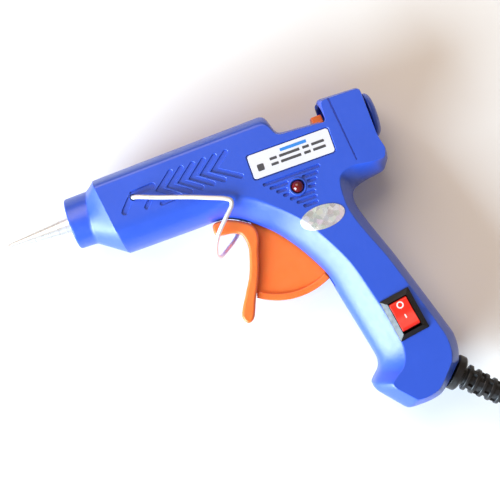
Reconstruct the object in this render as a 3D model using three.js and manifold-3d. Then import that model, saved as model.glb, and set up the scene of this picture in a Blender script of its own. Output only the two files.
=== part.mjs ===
// Hot-melt glue gun lying on its right side: barrel along +X from nozzle to glue inlet, handle towards -Y,
// +Z up out of the gun's left side. All sizes are millimetres.
// Shapes are drawn with (0, 0) at the nozzle tip on the barrel axis; the last group moves them to the origin.
import * as THREE from "three";
import { mergeVertices } from "three/addons/utils/BufferGeometryUtils.js";
import Module from "manifold-3d";

const wasm = await Module();
wasm.setup();

// ---- driving dimensions ----
const ORIGIN_X = 69.65;
const ORIGIN_Y = -44.15;
const MID_Z = 16.35; // height of the parting plane above the table
const HALF_WIDTH = 14; // housing half thickness
const WALL = 2.1;
const GAP = 0.3;
const PART_GAP = 0.15; // each housing half stops this far from the parting plane

const STICK_BORE_R = 3.9;
const CHAMBER_R = 6;
const CHAMBER_FRONT_X = 26.3;
const CHAMBER_REAR_X = 66;
const NECK_R = 9.3;
const NECK_FRONT_X = 24;
const NECK_REAR_X = 31.4; // where the neck meets the shoulder, on the barrel axis
const NECK_REAR_LEAN = 0.13;
const NECK_BORE_R = 7;
const NOZZLE_R = 3.75;

const TRIGGER_PIVOT = [94.5, -23];
const TRIGGER_PIN_R = 1.5;
const TRIGGER_PULL_ARM = 14.4; // pivot to the tip that drives the feeder
const TRIGGER_REST_LEAN = 12 * (Math.PI / 180); // the arm leans back by this at rest
const WEB_CENTRE = [92.3, -25.6];
const WEB_RADIUS = 26;
const SLOT_HALF = 4.4;

const STAND_PIVOT = [48.7, 0.85];
const STAND_OFFSET = 15.5; // wire legs, from the parting plane
const WIRE_R = 0.8;

const INLET_DISC_Y = 1;
const INLET_DISC_R = 8.05;
const COLLAR_BORE_Y = 0.4;
const COLLAR_BORE_R = 10.6; // the round opening of the raised collar that the glue stick passes under

const SWITCH_CENTRE = [123.5, -69];
const SWITCH_ANGLE = 9 * (Math.PI / 180);
const SWITCH_BEZEL = [11.2, 15.7];
const SWITCH_BODY = [9.2, 13];
const SWITCH_WELL = [7.3, 11.9];
const ROCKER_WIDTH = 6.7;
const ROCKER_TILT = 8 * (Math.PI / 180);
const ROCKER_PIVOT_T = 13;

const LED_CENTRE = [103.7, -14.8];
const LED_R = 2.1;
const LABEL_CENTRE = [105.3, -3.4];
const LABEL_SIZE = [29.6, 8.6];
const STICKER_CENTRE = [108.3, -27.7];
const STICKER_SIZE = [16, 8.2];
const ARROWS = 6;
const VENTS = 7;

const SCREWS = [
  [43, -11.4],
  [95, 8],
  [118, -16.5],
  [112, -55],
  [118.5, -92.5],
];
const SCREW_R = 1.2;
const SCREW_HEAD_R = 2.6;
const SCREW_SEAT_T = 6.5; // depth of the screw head's seat, from the parting plane
const SCREW_END_T = 9;
const BOSS_R = 3.5;

const RELIEF_BASE = [134.4, -95.1];
const RELIEF_ANGLE = -45 * (Math.PI / 180);
const RELIEF_LENGTH = 38;
const CORD_R = 2.5;
const CORD_FLOOR_Z = 2.55; // centre line of a cord that lies on the table
const COIL_CENTRE = [225.8, -124.8];
const COIL_OUTER_R = 37.5;
const COIL_INNER_R = 17.5;
const COIL_HEIGHT = 10;
const PLUG_END = [228, -120]; // the plug lies on the coil
const PLUG_ANGLE = Math.PI;
const PLUG_NECK = 12;
const PLUG_SIZE = [24, 23, 13.6]; // body, without its neck and blades
const PLUG_Z = COIL_HEIGHT + GAP + PLUG_SIZE[2] / 2;
const PLUG_BLADE = [17, 1.5, 6.3];
const PLUG_BLADE_SPACING = 12.7;

// Each row is one corner of the housing: its place on the parting plane, then the matching corner of the
// flat side face. The strip between the two is the bevel, wide under the barrel and along the handle's front.
const OUTLINE = [
  [36.7, 11.9, 37.2, 8],
  [100.2, 13.4, 99.8, 9.2],
  [101.6, 12, 100.9, 8.2],
  [103.4, 5.9, 102.8, 3.6],
  [104.8, 4.6, 104.6, 2.4],
  [119.8, 4.3, 120.6, 2.2],
  [120, 12.2, 121, 10.4],
  [134.6, 11.6, 133.6, 10.2],
  [136.4, 9.8, 135.2, 8.6],
  [136.4, -7.5, 135.5, -7.5],
  [138, -12.4, 136.6, -12.4],
  [137.6, -15.8, 135.7, -15.3],
  [135.2, -19.4, 131.6, -15.4],
  [125.6, -21.1, 122, -14.5],
  [122.4, -22.8, 118, -17.5],
  [121.5, -26.2, 117.3, -25.4],
  [129.4, -51.3, 125.3, -50.1],
  [137.3, -76.9, 133.2, -75.6],
  [138.8, -82.3, 134.6, -81.6],
  [138.5, -88, 134.5, -86.6],
  [137.2, -91.8, 133.4, -90],
  [131.1, -97.9, 128.8, -95.2],
  [127.4, -100.6, 126, -97.8],
  [122.1, -101.7, 121.6, -98.6],
  [114.5, -101.7, 118.2, -98.5],
  [106.3, -92.1, 112.6, -92.4],
  [105.8, -89.4, 112, -90.4],
  [107, -87.8, 114.4, -88.4],
  [109.6, -85.2, 117, -86.6],
  [110.5, -82.6, 118.7, -84.2],
  [110.3, -79.8, 119.8, -80],
  [109.6, -76.3, 119.6, -74.5],
  [105.8, -58, 116.2, -59.5],
  [103.6, -47.8, 113, -47.6],
  [102, -44.1, 110.9, -42.3],
  [98, -36.8, 106.6, -34],
  [94.2, -31.2, 102.7, -27.6],
  [90.1, -26.3, 98.3, -22.6],
  [86, -22.7, 94, -18.4],
  [81.8, -19.4, 88.5, -13.4],
  [77.2, -17, 82.6, -9.9],
  [73.3, -16.1, 75.5, -7.6],
  [70.5, -16.5, 70, -6.4],
  [40.2, -16.6, 38.8, -5.4],
];
// How much of the bevel is used up at each distance from the parting plane.
const BEVEL_LEVELS = [
  [PART_GAP, 0],
  [5, 0.06],
  [9, 0.36],
  [HALF_WIDTH, 1],
];
const CAVITY_LEVELS = [
  [-1, 0],
  [4, 0.06],
  [8, 0.38],
  [HALF_WIDTH - WALL, 1],
];

// ---- materials ----
const paint = (color, roughness, metalness = 0) =>
  new THREE.MeshStandardMaterial({ color, roughness, metalness });
const BLUE = paint(0x3e69eb, 0.55);
const ORANGE = paint(0xff9646, 0.4);
const RED = paint(0xff3c2d, 0.35);
const BLACK = paint(0x1a1a1c, 0.5);
const RUBBER = paint(0x202022, 0.75);
const STEEL = paint(0xc8c8cc, 0.25, 1);
const ALUMINIUM = paint(0xb8babd, 0.4, 1);
const BRASS = paint(0xc9a24b, 0.3, 1);
const SILICONE = paint(0xd8d4cc, 0.6);
const CERAMIC = paint(0x6b6a68, 0.7);
const LENS = paint(0x7a1016, 0.2);
const LABEL = paint(0xe4e4ea, 0.35);
const FOIL = paint(0xd0d0d6, 0.2, 1);
const WIRE_RED = paint(0xb02020, 0.5);
const WIRE_WHITE = paint(0xe6e6e2, 0.5);

// ---- shape helpers ----

// A closed geometry as a solid, turned the right way out.
function solid(geometry) {
  const bare = geometry.clone();
  bare.deleteAttribute("normal");
  bare.deleteAttribute("uv");
  const merged = mergeVertices(bare, 1e-4);
  const build = (triVerts) =>
    new wasm.Manifold(
      new wasm.Mesh({ numProp: 3, vertProperties: merged.attributes.position.array, triVerts }),
    );
  const triangles = Uint32Array.from(merged.index.array);
  const made = build(triangles);
  if (made.volume() > 0) return made;
  return build(triangles.reverse());
}

function geometryOf(body) {
  const mesh = body.getMesh();
  const positions = new Float32Array(mesh.numVert * 3);
  for (let i = 0; i < mesh.numVert; i += 1)
    for (let k = 0; k < 3; k += 1) positions[3 * i + k] = mesh.vertProperties[i * mesh.numProp + k];
  const geometry = new THREE.BufferGeometry();
  geometry.setAttribute("position", new THREE.BufferAttribute(positions, 3));
  geometry.setIndex(new THREE.BufferAttribute(Uint32Array.from(mesh.triVerts), 1));
  geometry.computeVertexNormals();
  return geometry;
}

const gun = new THREE.Group();
gun.position.set(-ORIGIN_X, -ORIGIN_Y, MID_Z);

function part(name, body, material) {
  const mesh = new THREE.Mesh(geometryOf(body), material.clone());
  mesh.name = name;
  gun.add(mesh);
  return mesh;
}

const join = (...bodies) => bodies.reduce((a, b) => a.add(b));
const cut = (body, ...tools) => tools.reduce((a, b) => a.subtract(b), body);

function box(x0, x1, y0, y1, z0, z1) {
  const geometry = new THREE.BoxGeometry(x1 - x0, y1 - y0, z1 - z0);
  geometry.translate((x0 + x1) / 2, (y0 + y1) / 2, (z0 + z1) / 2);
  return solid(geometry);
}

// An outline of [x, y] corners, raised from z0 to z1.
function prism(corners, z0, z1) {
  const shape = new THREE.Shape(corners.map(([x, y]) => new THREE.Vector2(x, y)));
  const geometry = new THREE.ExtrudeGeometry(shape, { depth: z1 - z0, bevelEnabled: false });
  geometry.translate(0, 0, z0);
  return solid(geometry);
}

// A round bar along Z.
function post(x, y, radius, z0, z1, sides = 20) {
  const geometry = new THREE.CylinderGeometry(radius, radius, z1 - z0, sides);
  geometry.rotateX(Math.PI / 2);
  geometry.translate(x, y, (z0 + z1) / 2);
  return solid(geometry);
}

// A profile of [x, radius] corners turned about the X axis at height y.
function turned(profile, sides = 24, y = 0) {
  const points = profile.map(([x, r]) => new THREE.Vector2(r, x));
  const geometry = new THREE.LatheGeometry(points, sides);
  geometry.rotateZ(-Math.PI / 2);
  geometry.translate(0, y, 0);
  return solid(geometry);
}

const bar = (x0, x1, radius, sides = 24, y = 0) =>
  turned([[x0, 0], [x0, radius], [x1, radius], [x1, 0]], sides, y);

// A round tube along a curve, closed at both ends.
function tube(curve, radius, sides, steps) {
  const ring = [];
  for (let i = 0; i < sides; i += 1) {
    const a = ((i + 0.5) / sides) * 2 * Math.PI;
    ring.push(new THREE.Vector2(radius * Math.cos(a), radius * Math.sin(a)));
  }
  const geometry = new THREE.ExtrudeGeometry(new THREE.Shape(ring), {
    steps,
    extrudePath: curve,
    bevelEnabled: false,
  });
  return solid(geometry);
}

const curveThrough = (points) =>
  new THREE.CatmullRomCurve3(points.map((p) => new THREE.Vector3(...p)), false, "centripetal");

function arc(centre, radius, startDeg, endDeg, count) {
  const corners = [];
  for (let i = 0; i <= count; i += 1) {
    const a = ((startDeg + ((endDeg - startDeg) * i) / count) * Math.PI) / 180;
    corners.push([centre[0] + radius * Math.cos(a), centre[1] + radius * Math.sin(a)]);
  }
  return corners;
}

// Rings of equal length joined by side faces, with the first and last closed.
function loft(rings, flatten) {
  const count = rings[0].length;
  const positions = rings.flat().flatMap((p) => [p.x, p.y, p.z]);
  const index = [];
  for (let k = 0; k + 1 < rings.length; k += 1)
    for (let i = 0; i < count; i += 1) {
      const a = k * count + i;
      const b = k * count + ((i + 1) % count);
      index.push(a, b, a + count, b, b + count, a + count);
    }
  for (const [ring, order] of [[0, -1], [rings.length - 1, 1]]) {
    const flat = rings[ring].map(flatten);
    const sense = order * Math.sign(THREE.ShapeUtils.area(flat));
    for (const corners of THREE.ShapeUtils.triangulateShape(flat, [])) {
      const turn = Math.sign(THREE.ShapeUtils.area(corners.map((i) => flat[i])));
      const closing = corners.map((i) => i + ring * count);
      index.push(...(turn === sense ? closing : closing.reverse()));
    }
  }
  const geometry = new THREE.BufferGeometry();
  geometry.setAttribute("position", new THREE.Float32BufferAttribute(positions, 3));
  geometry.setIndex(index);
  return solid(geometry);
}

// ---- housing ----

// The outline's corners at one share of the bevel, moved inwards by a margin.
function outlineAt(share, margin) {
  const ring = OUTLINE.map(([x, y, fx, fy]) => [x + (fx - x) * share, y + (fy - y) * share]);
  return ring.map(([x, y], i) => {
    const [ax, ay] = ring[(i + ring.length - 1) % ring.length];
    const [bx, by] = ring[(i + 1) % ring.length];
    const before = new THREE.Vector2(ay - y, x - ax).normalize();
    const after = new THREE.Vector2(y - by, bx - x).normalize();
    const turn = Math.max(0.5, (1 + before.dot(after)) / 2);
    const inward = before.add(after).normalize().multiplyScalar(-margin / Math.sqrt(turn));
    return [x + inward.x, y + inward.y];
  });
}

function bodyLoft(levels, margin) {
  const rings = levels.map(([t, share]) =>
    outlineAt(share, margin).map(([x, y]) => new THREE.Vector3(x, y, t)),
  );
  return loft(rings, (p) => new THREE.Vector2(p.x, p.y));
}

// The round neck and the sloping shoulder that joins it to the body's front.
function frontLoft() {
  const [topX, topY, , topFaceY] = OUTLINE[0];
  const [bottomX, bottomY, , bottomFaceY] = OUTLINE[OUTLINE.length - 1];
  const shoulderX = (y) => topX + ((topY - y) / (topY - bottomY)) * (bottomX - topX);
  const shoulder = [
    ...BEVEL_LEVELS.map(([t, share]) => [topY + (topFaceY - topY) * share, t]),
    ...[...BEVEL_LEVELS].reverse().map(([t, share]) => [bottomY + (bottomFaceY - bottomY) * share, t]),
  ];
  const angles = [90, 66, 46, 24, -20, -46, -68, -90];
  const neck = angles.map((a) => {
    const turn = (a * Math.PI) / 180;
    return [NECK_R * Math.sin(turn), Math.max(PART_GAP, NECK_R * Math.cos(turn))];
  });
  const ringAt = (section, xOf) => section.map(([y, t]) => new THREE.Vector3(xOf(y), y, t));
  const inner = shoulder.map(([y, t]) => [y * 0.85, Math.max(PART_GAP, t * 0.85)]);
  const rounded = neck.map(([y, t]) => [y * 0.95, Math.max(PART_GAP, t * 0.95)]);
  return loft(
    [
      ringAt(rounded, () => NECK_FRONT_X),
      ringAt(neck, () => NECK_FRONT_X + 0.6),
      ringAt(neck, (y) => NECK_REAR_X + y * NECK_REAR_LEAN),
      ringAt(shoulder, shoulderX),
      ringAt(inner, (y) => shoulderX(y) + 1.5),
    ],
    (p) => new THREE.Vector2(p.y, p.z),
  );
}

// A rib across the half, open in the middle where a round part of the given radius passes.
const saddle = (x, radius) =>
  cut(box(x, x + 1.6, -9, 11, PART_GAP, HALF_WIDTH - 1), bar(x - 1, x + 3, radius));

const outerForm = join(bodyLoft(BEVEL_LEVELS, 0), frontLoft());

function housingHalf() {
  const cavity = bodyLoft(CAVITY_LEVELS, WALL);
  const shell = cut(
    outerForm,
    cavity,
    bar(CHAMBER_FRONT_X - GAP, 44, NECK_BORE_R),
    bar(NECK_FRONT_X - 1, 30, NOZZLE_R + 1.2 * GAP),
  );
  const pinBoss = post(...TRIGGER_PIVOT, 3.2, SLOT_HALF, 8);
  const guide = join(
    box(112, 113.6, -11, 2.4, 6.3, HALF_WIDTH - 1),
    box(112, 113.6, -11, -6.3, PART_GAP, 7),
  );
  const chamberSaddles = join(saddle(44.6, CHAMBER_R + GAP), saddle(63, CHAMBER_R + GAP));
  const ribs = join(chamberSaddles, saddle(77, 6.5), guide);
  return join(shell, join(ribs, pinBoss).intersect(outerForm));
}

// What both halves have cut out of them, drawn on the positive side of the parting plane.
function sharedCuts() {
  const slot = [[83.4, -24], [83.4, -17.5], [98, -17.5], [114, -42], [110, -53], [104.9, -52.4], [96, -48]];
  return [
    prism(slot, -1, SLOT_HALF),
    box(105.4, 121, 1.5, 16, -1, 6.4),
    bar(119, 127, COLLAR_BORE_R, 32, COLLAR_BORE_Y),
    bar(126, 138, 5.8, 24),
    post(...TRIGGER_PIVOT, TRIGGER_PIN_R + GAP, -1, 7.3, 14),
    post(...STAND_PIVOT, WIRE_R + 1.3 * GAP, 8, 16, 12),
    onReliefAxis(new THREE.CylinderGeometry(4, 4, 6, 20).translate(0, -1.5, 0)),
    onReliefAxis(new THREE.CylinderGeometry(5.3, 5.3, 5, 20).translate(0, -5.2, 0)),
  ];
}

// Puts a shape whose axis is Y on the axis of the strain relief.
function onReliefAxis(geometry) {
  geometry.rotateZ(RELIEF_ANGLE - Math.PI / 2);
  geometry.translate(RELIEF_BASE[0], RELIEF_BASE[1], 0);
  return solid(geometry);
}

const mirrored = (body) => body.mirror([0, 0, 1]);

function turnedBox(centre, size, angle, t0, t1) {
  const geometry = new THREE.BoxGeometry(size[0], size[1], t1 - t0);
  geometry.rotateZ(angle);
  geometry.translate(centre[0], centre[1], (t0 + t1) / 2);
  return solid(geometry);
}

// Six arrow grooves, the slanted grooves by the stand's pivot and the seven ventilation grooves.
function faceGrooves() {
  const floorT = HALF_WIDTH - 0.6;
  const topT = HALF_WIDTH + 1;
  const grooves = [];
  const arm = (x0, y0, x1, y1, width) => {
    const along = new THREE.Vector2(x1 - x0, y1 - y0);
    const centre = [(x0 + x1) / 2, (y0 + y1) / 2];
    grooves.push(turnedBox(centre, [along.length() + width, width], along.angle(), floorT, topT));
  };
  for (let i = 0; i < ARROWS; i += 1) {
    const x = 58.2 + 4.06 * i;
    arm(x, 0.3, x + 5.6, 5.2, 1.6);
    arm(x, 0.3, x + 6, -4, 1.6);
  }
  arm(49, 2, 56.4, 2.4, 1.8);
  arm(48, 1, 44.8, -3.1, 1.8);
  for (let i = 0; i < VENTS; i += 1) {
    const y = -10.4 - 1.93 * i;
    arm(93.6 + 1.8 * i, y, 112.4 - 0.8 * i, y, 1.1);
  }
  return grooves;
}

function screwBoss([x, y]) {
  return post(x, y, BOSS_R, PART_GAP, HALF_WIDTH - 1, 16);
}

function leftHousing() {
  const bosses = join(...SCREWS.map(screwBoss)).intersect(outerForm);
  const ledHole = post(...LED_CENTRE, LED_R + GAP, 8, 16, 16);
  const labelRecess = box(
    LABEL_CENTRE[0] - LABEL_SIZE[0] / 2 - GAP,
    LABEL_CENTRE[0] + LABEL_SIZE[0] / 2 + GAP,
    LABEL_CENTRE[1] - LABEL_SIZE[1] / 2 - GAP,
    LABEL_CENTRE[1] + LABEL_SIZE[1] / 2 + GAP,
    HALF_WIDTH - 0.8,
    16,
  );
  const switchHole = SWITCH_BODY.map((s) => s + 2 * GAP);
  return cut(
    join(housingHalf(), bosses),
    ...sharedCuts(),
    ...SCREWS.map(([x, y]) => post(x, y, SCREW_R + GAP, -1, SCREW_END_T + GAP, 10)),
    ledHole,
    labelRecess,
    turnedBox(SWITCH_CENTRE, switchHole, SWITCH_ANGLE, 1.5, 16),
    ...faceGrooves(),
  );
}

function rightHousing() {
  const bosses = join(...SCREWS.map(screwBoss)).intersect(outerForm);
  const half = cut(
    join(housingHalf(), bosses),
    ...sharedCuts(),
    ...SCREWS.map(([x, y]) => post(x, y, SCREW_R + GAP, -1, 15, 10)),
    ...SCREWS.map(([x, y]) => post(x, y, SCREW_HEAD_R + GAP, SCREW_SEAT_T, 15, 16)),
  );
  return mirrored(half);
}

function screw([x, y]) {
  const head = post(x, y, SCREW_HEAD_R, -SCREW_SEAT_T - GAP - 2.2, -SCREW_SEAT_T - GAP, 16);
  const shank = post(x, y, SCREW_R, -SCREW_SEAT_T - GAP - 0.5, SCREW_END_T - GAP, 10);
  const crossAt = -SCREW_SEAT_T - GAP - 2.3;
  const cross = join(
    box(x - 1.6, x + 1.6, y - 0.35, y + 0.35, crossAt, crossAt + 1.2),
    box(x - 0.35, x + 0.35, y - 1.6, y + 1.6, crossAt, crossAt + 1.2),
  );
  return cut(join(head, shank), cross);
}

// ---- melt unit, along the barrel axis ----

function nozzle() {
  return turned([
    [0, 0.85], [0, 1.15], [1.2, 1.25], [23.6, NOZZLE_R], [25.9, NOZZLE_R],
    [25.9, 2.9], [31, 2.9], [31, 1.6], [3, 0.85], [0, 0.85],
  ]);
}

function meltChamber() {
  const shell = turned([
    [CHAMBER_FRONT_X, 3.2],
    [CHAMBER_FRONT_X, CHAMBER_R],
    [CHAMBER_REAR_X, CHAMBER_R],
    [CHAMBER_REAR_X, 3.7],
    [34, 3.7],
    [32, 3.2],
    [CHAMBER_FRONT_X, 3.2],
  ]);
  return cut(shell, box(49, 61, -7, -5.3, -4, 4));
}

const heater = () => box(49.4, 60.6, -7.5, -5.6, -3.6, 3.6);

function heaterClip() {
  const outside = box(51, 59, -8.6, 6.9, -7, 7);
  const inside = join(box(50, 60, -7.8, 0, -6.4, 6.4), bar(50, 60, 6.4));
  const mouth = box(50, 60, 4.5, 8, -4, 4);
  return cut(outside, inside, mouth);
}

const tubeRing = (x0, x1, inner, outer, sides = 24) =>
  turned([[x0, inner], [x0, outer], [x1, outer], [x1, inner], [x0, inner]], sides);

const sleeve = () => tubeRing(66.3, 80, STICK_BORE_R, 6.1);

function sleeveClip() {
  const ring = tubeRing(72.6, 74.2, 6.5, 7.1);
  return cut(ring, box(72, 75, 5, 8, -1.2, 1.2));
}

// ---- feed and trigger ----

// A channel under the glue stick, with a raised collar at its rear and two lugs for the trigger's arm.
function feederCarriage() {
  const tipX = TRIGGER_PIVOT[0] + TRIGGER_PULL_ARM * Math.sin(TRIGGER_REST_LEAN);
  const channel = box(89, 120.6, -5.9, 1.3, -5.9, 5.9);
  const collar = box(116.6, 120.6, 1, 6.9, -5.2, 5.2);
  const lugs = join(
    box(tipX - 3.9, tipX - 2.4, -10.2, -5, -4, 4),
    box(tipX + 2.4, tipX + 3.9, -10.2, -5, -4, 4),
  );
  return cut(join(channel, collar, lugs), bar(88, 122, STICK_BORE_R), box(88, 116.4, 0, 5, -3.9, 3.9));
}

class Helix extends THREE.Curve {
  constructor(radius, x0, x1, turns, y) {
    super();
    Object.assign(this, { radius, x0, x1, turns, y });
  }
  getPoint(t, target = new THREE.Vector3()) {
    const a = 2 * Math.PI * this.turns * t;
    return target.set(
      this.x0 + (this.x1 - this.x0) * t,
      this.y + this.radius * Math.cos(a),
      this.radius * Math.sin(a),
    );
  }
}

// A compression spring behind the silicone sleeve that pushes the carriage back.
const returnSpring = () => tube(new Helix(5.2, 81.2, 88, 4, 0), 0.45, 6, 36);

function trigger() {
  const blade = [
    [70.9, -17.1], [73.4, -16.8], [77, -17.8], [81.4, -20.1], [84.6, -22.8], [85.2, -26], [83.4, -31.6],
    [81.7, -36.8], [79.6, -41.8], [77, -46.8], [72.6, -54.4], [69.8, -50.9], [74.2, -43.8], [77.1, -39],
    [79.1, -33.9], [80.6, -29.1], [80.5, -25.6], [79.6, -23.8], [77.5, -22.8], [70.6, -21.5],
  ];
  const rimOuter = arc(WEB_CENTRE, WEB_RADIUS, 235, 297, 10);
  const rimInner = arc(WEB_CENTRE, WEB_RADIUS - 2.5, 297, 235, 10);
  const web = [...rimOuter, [101.5, -30], [98.4, -23], [94.5, -19.2], [86, -23], [83, -30]];
  const [px, py] = TRIGGER_PIVOT;
  const tip = [
    px + TRIGGER_PULL_ARM * Math.sin(TRIGGER_REST_LEAN),
    py + TRIGGER_PULL_ARM * Math.cos(TRIGGER_REST_LEAN),
  ];
  const arm = [[px - 3, py + 2], [px + 3, py], [tip[0] + 1.4, tip[1]], [tip[0] - 1.4, tip[1]]];
  const body = join(
    prism(blade, -6, 6),
    prism(web, -2.4, 2.4),
    prism([...rimOuter, ...rimInner], -3.9, 3.9),
    post(px, py, 4, -3.9, 3.9),
    prism(arm, -2.4, 2.4),
    post(tip[0], tip[1], 2, -2.4, 2.4, 16),
  );
  return cut(body, post(px, py, TRIGGER_PIN_R + GAP, -5, 5, 16));
}

const triggerPin = () => post(...TRIGGER_PIVOT, TRIGGER_PIN_R, -7, 7, 16);

// ---- wire stand: both ends turn inwards into the pivot holes ----
function wireStand() {
  const [x, y] = STAND_PIVOT;
  const s = STAND_OFFSET;
  const path = [
    [x, y, 10.6], [x, y, s - 1.6], [x + 0.2, y - 0.1, s - 0.5], [x + 1.5, y - 0.45, s],
    [66.6, -5.5, s], [78.8, -10.4, s], [80.3, -11.6, s - 0.1], [80.1, -13.1, s - 0.3],
    [76.7, -16.6, 14.6], [72.4, -21, 12.6], [70.2, -24.4, 10], [69.2, -27, 6.6], [69, -28.2, 2.5],
    [69.1, -28.6, -2.5], [69.8, -28.8, -6.4], [71, -28.3, -8.8], [72.8, -27.2, -10.4], [75.9, -25.2, -12.2],
    [78.7, -22.6, -13.8], [81, -18.6, -14.9], [81.3, -14.8, -s + 0.2],
    [80.3, -12, -s + 0.1], [78.8, -10.4, -s], [66.6, -5.5, -s],
    [x + 1.5, y - 0.45, -s], [x + 0.2, y - 0.1, -s + 0.5], [x, y, -s + 1.6], [x, y, -10.6],
  ];
  return tube(curveThrough(path), WIRE_R, 8, 66);
}

// ---- inlet, lamp, labels ----
function inletRing() {
  const profile = [
    [136.7, 0], [136.7, INLET_DISC_R], [137.9, INLET_DISC_R], [138.9, 7], [139.3, 5.6], [139.3, 0],
  ];
  const disc = turned(profile, 32, INLET_DISC_Y);
  const spigot = bar(131, 137, 5.5);
  return cut(join(disc, spigot), bar(130, 141, 4));
}

function ledLamp() {
  const [x, y] = LED_CENTRE;
  const dome = new THREE.SphereGeometry(LED_R, 16, 8);
  dome.translate(x, y, 13.4);
  return join(post(x, y, LED_R, 8.6, 13.4, 16), solid(dome), post(x, y, 2.7, 8, 9, 16));
}

function ledResistor() {
  const geometry = new THREE.CylinderGeometry(1, 1, 6, 12);
  geometry.rotateZ(Math.PI / 2);
  geometry.translate(105, -24.5, 8.6);
  return solid(geometry);
}

const ratingLabel = () =>
  box(
    LABEL_CENTRE[0] - LABEL_SIZE[0] / 2,
    LABEL_CENTRE[0] + LABEL_SIZE[0] / 2,
    LABEL_CENTRE[1] - LABEL_SIZE[1] / 2,
    LABEL_CENTRE[1] + LABEL_SIZE[1] / 2,
    HALF_WIDTH - 0.5,
    HALF_WIDTH - 0.2,
  );

function inspectionSticker() {
  const corners = arc([0, 0], 1, 0, 345, 23).map(([x, y]) => [
    STICKER_CENTRE[0] + (x * STICKER_SIZE[0]) / 2,
    STICKER_CENTRE[1] + (y * STICKER_SIZE[1]) / 2,
  ]);
  return prism(corners, HALF_WIDTH + GAP, HALF_WIDTH + 2 * GAP);
}

// ---- rocker switch ----
function switchBody() {
  const base = turnedBox(SWITCH_CENTRE, SWITCH_BODY, SWITCH_ANGLE, 3, HALF_WIDTH + 0.5);
  const cornerSigns = [[-1, -1], [1, -1], [1, 1], [-1, 1]];
  const ringAt = (inset, t) =>
    cornerSigns.map(([sx, sy]) => {
      const across = sx * (SWITCH_BEZEL[0] / 2 - inset);
      const along = sy * (SWITCH_BEZEL[1] / 2 - inset);
      const corner = new THREE.Vector2(across, along).rotateAround(new THREE.Vector2(), SWITCH_ANGLE);
      return new THREE.Vector3(SWITCH_CENTRE[0] + corner.x, SWITCH_CENTRE[1] + corner.y, t);
    });
  const bezel = loft(
    [ringAt(0, HALF_WIDTH + GAP), ringAt(0, HALF_WIDTH + 0.7), ringAt(1.1, HALF_WIDTH + 2.2)],
    (p) => new THREE.Vector2(p.x, p.y),
  );
  return cut(join(base, bezel), turnedBox(SWITCH_CENTRE, SWITCH_WELL, SWITCH_ANGLE, 8.5, 18));
}

// The rocker's side view, along its length and up, tilted with its barrel end pressed in.
function rocker() {
  const side = [
    [-4.9, 16.9], [-5.3, 15.4], [-5.1, 12.6], [-2, 10.6], [2, 10.6], [5.1, 12.6], [5.3, 15.4], [4.9, 16.9],
    [0, 15.9],
  ];
  const shape = new THREE.Shape(side.map(([l, t]) => new THREE.Vector2(l, t - ROCKER_PIVOT_T)));
  const geometry = new THREE.ExtrudeGeometry(shape, { depth: ROCKER_WIDTH, bevelEnabled: false });
  geometry.translate(0, 0, -ROCKER_WIDTH / 2);
  geometry.rotateZ(-ROCKER_TILT);
  geometry.applyMatrix4(new THREE.Matrix4().makeBasis(
    new THREE.Vector3(0, 1, 0), new THREE.Vector3(0, 0, 1), new THREE.Vector3(1, 0, 0),
  ));
  geometry.rotateZ(SWITCH_ANGLE);
  geometry.translate(...SWITCH_CENTRE, ROCKER_PIVOT_T);
  return solid(geometry);
}

const switchTerminal = (offset) =>
  turnedBox(
    [
      SWITCH_CENTRE[0] - offset * Math.sin(SWITCH_ANGLE),
      SWITCH_CENTRE[1] + offset * Math.cos(SWITCH_ANGLE),
    ],
    [4.8, 0.8],
    SWITCH_ANGLE,
    -4,
    3 - GAP,
  );

// ---- inner wires ----
const WIRE_PATHS = {
  live_wire_in: [
    [130.9, -91.6, -1.3], [128.5, -89.2, -2], [126, -84, -4.2], [124.6, -78, -6.4], [124.2, -74.4, -6.6],
    [124.06, -72.8, -4.9],
  ],
  live_wire_out: [
    [122.9, -65.4, -4.9], [122.6, -63.8, -7], [121.2, -58, -8.1], [118, -47, -8.1], [113.6, -36, -8.1],
    [109.6, -26, -8.1], [103, -16, -8.1], [90, -11.4, -7.8], [80, -11.4, -6], [72, -11.5, -4.6],
    [64.6, -12, -3.6], [60.4, -10.6, -2.2], [57.6, -9.9, -1.6],
  ],
  neutral_wire: [
    [130.9, -91.6, 1.4], [128.9, -89, 1.9], [129, -82, 0.4], [129.6, -76, -2], [128.4, -66, -5.4],
    [124.4, -54, -6.2], [119.6, -42, -6.2], [113, -28, -6.1], [106, -17.4, -5.9], [96, -14.6, -5.8],
    [84, -13.4, -5], [76, -12.6, -2.4], [68, -12, 1], [61, -11.4, 1.8], [55, -9.9, 1.8],
  ],
};
const wire = (path) => tube(curveThrough(path), 0.75, 6, 2 * path.length);

// ---- mains lead ----
function strainRelief() {
  const ribs = [];
  for (let i = 0; i < 7; i += 1) {
    const x = 4.6 + 3.2 * i;
    const taper = 4.85 - 0.14 * i;
    ribs.push([x, taper - 0.95], [x, taper], [x + 1.6, taper], [x + 1.6, taper - 0.95]);
  }
  const profile = [
    [-4.4, 0], [-4.4, 4.9], [-3, 4.9], [-3, 3.6], [0, 3.6], [0, 6.45], [2.4, 6.45], [3, 5.9], [3, 4],
    ...ribs, [RELIEF_LENGTH, 3.1], [RELIEF_LENGTH, 0],
  ];
  const points = profile.map(([x, r]) => new THREE.Vector2(r, x));
  return onReliefAxis(new THREE.LatheGeometry(points, 16));
}

const onTable = (z) => z - MID_Z;

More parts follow.
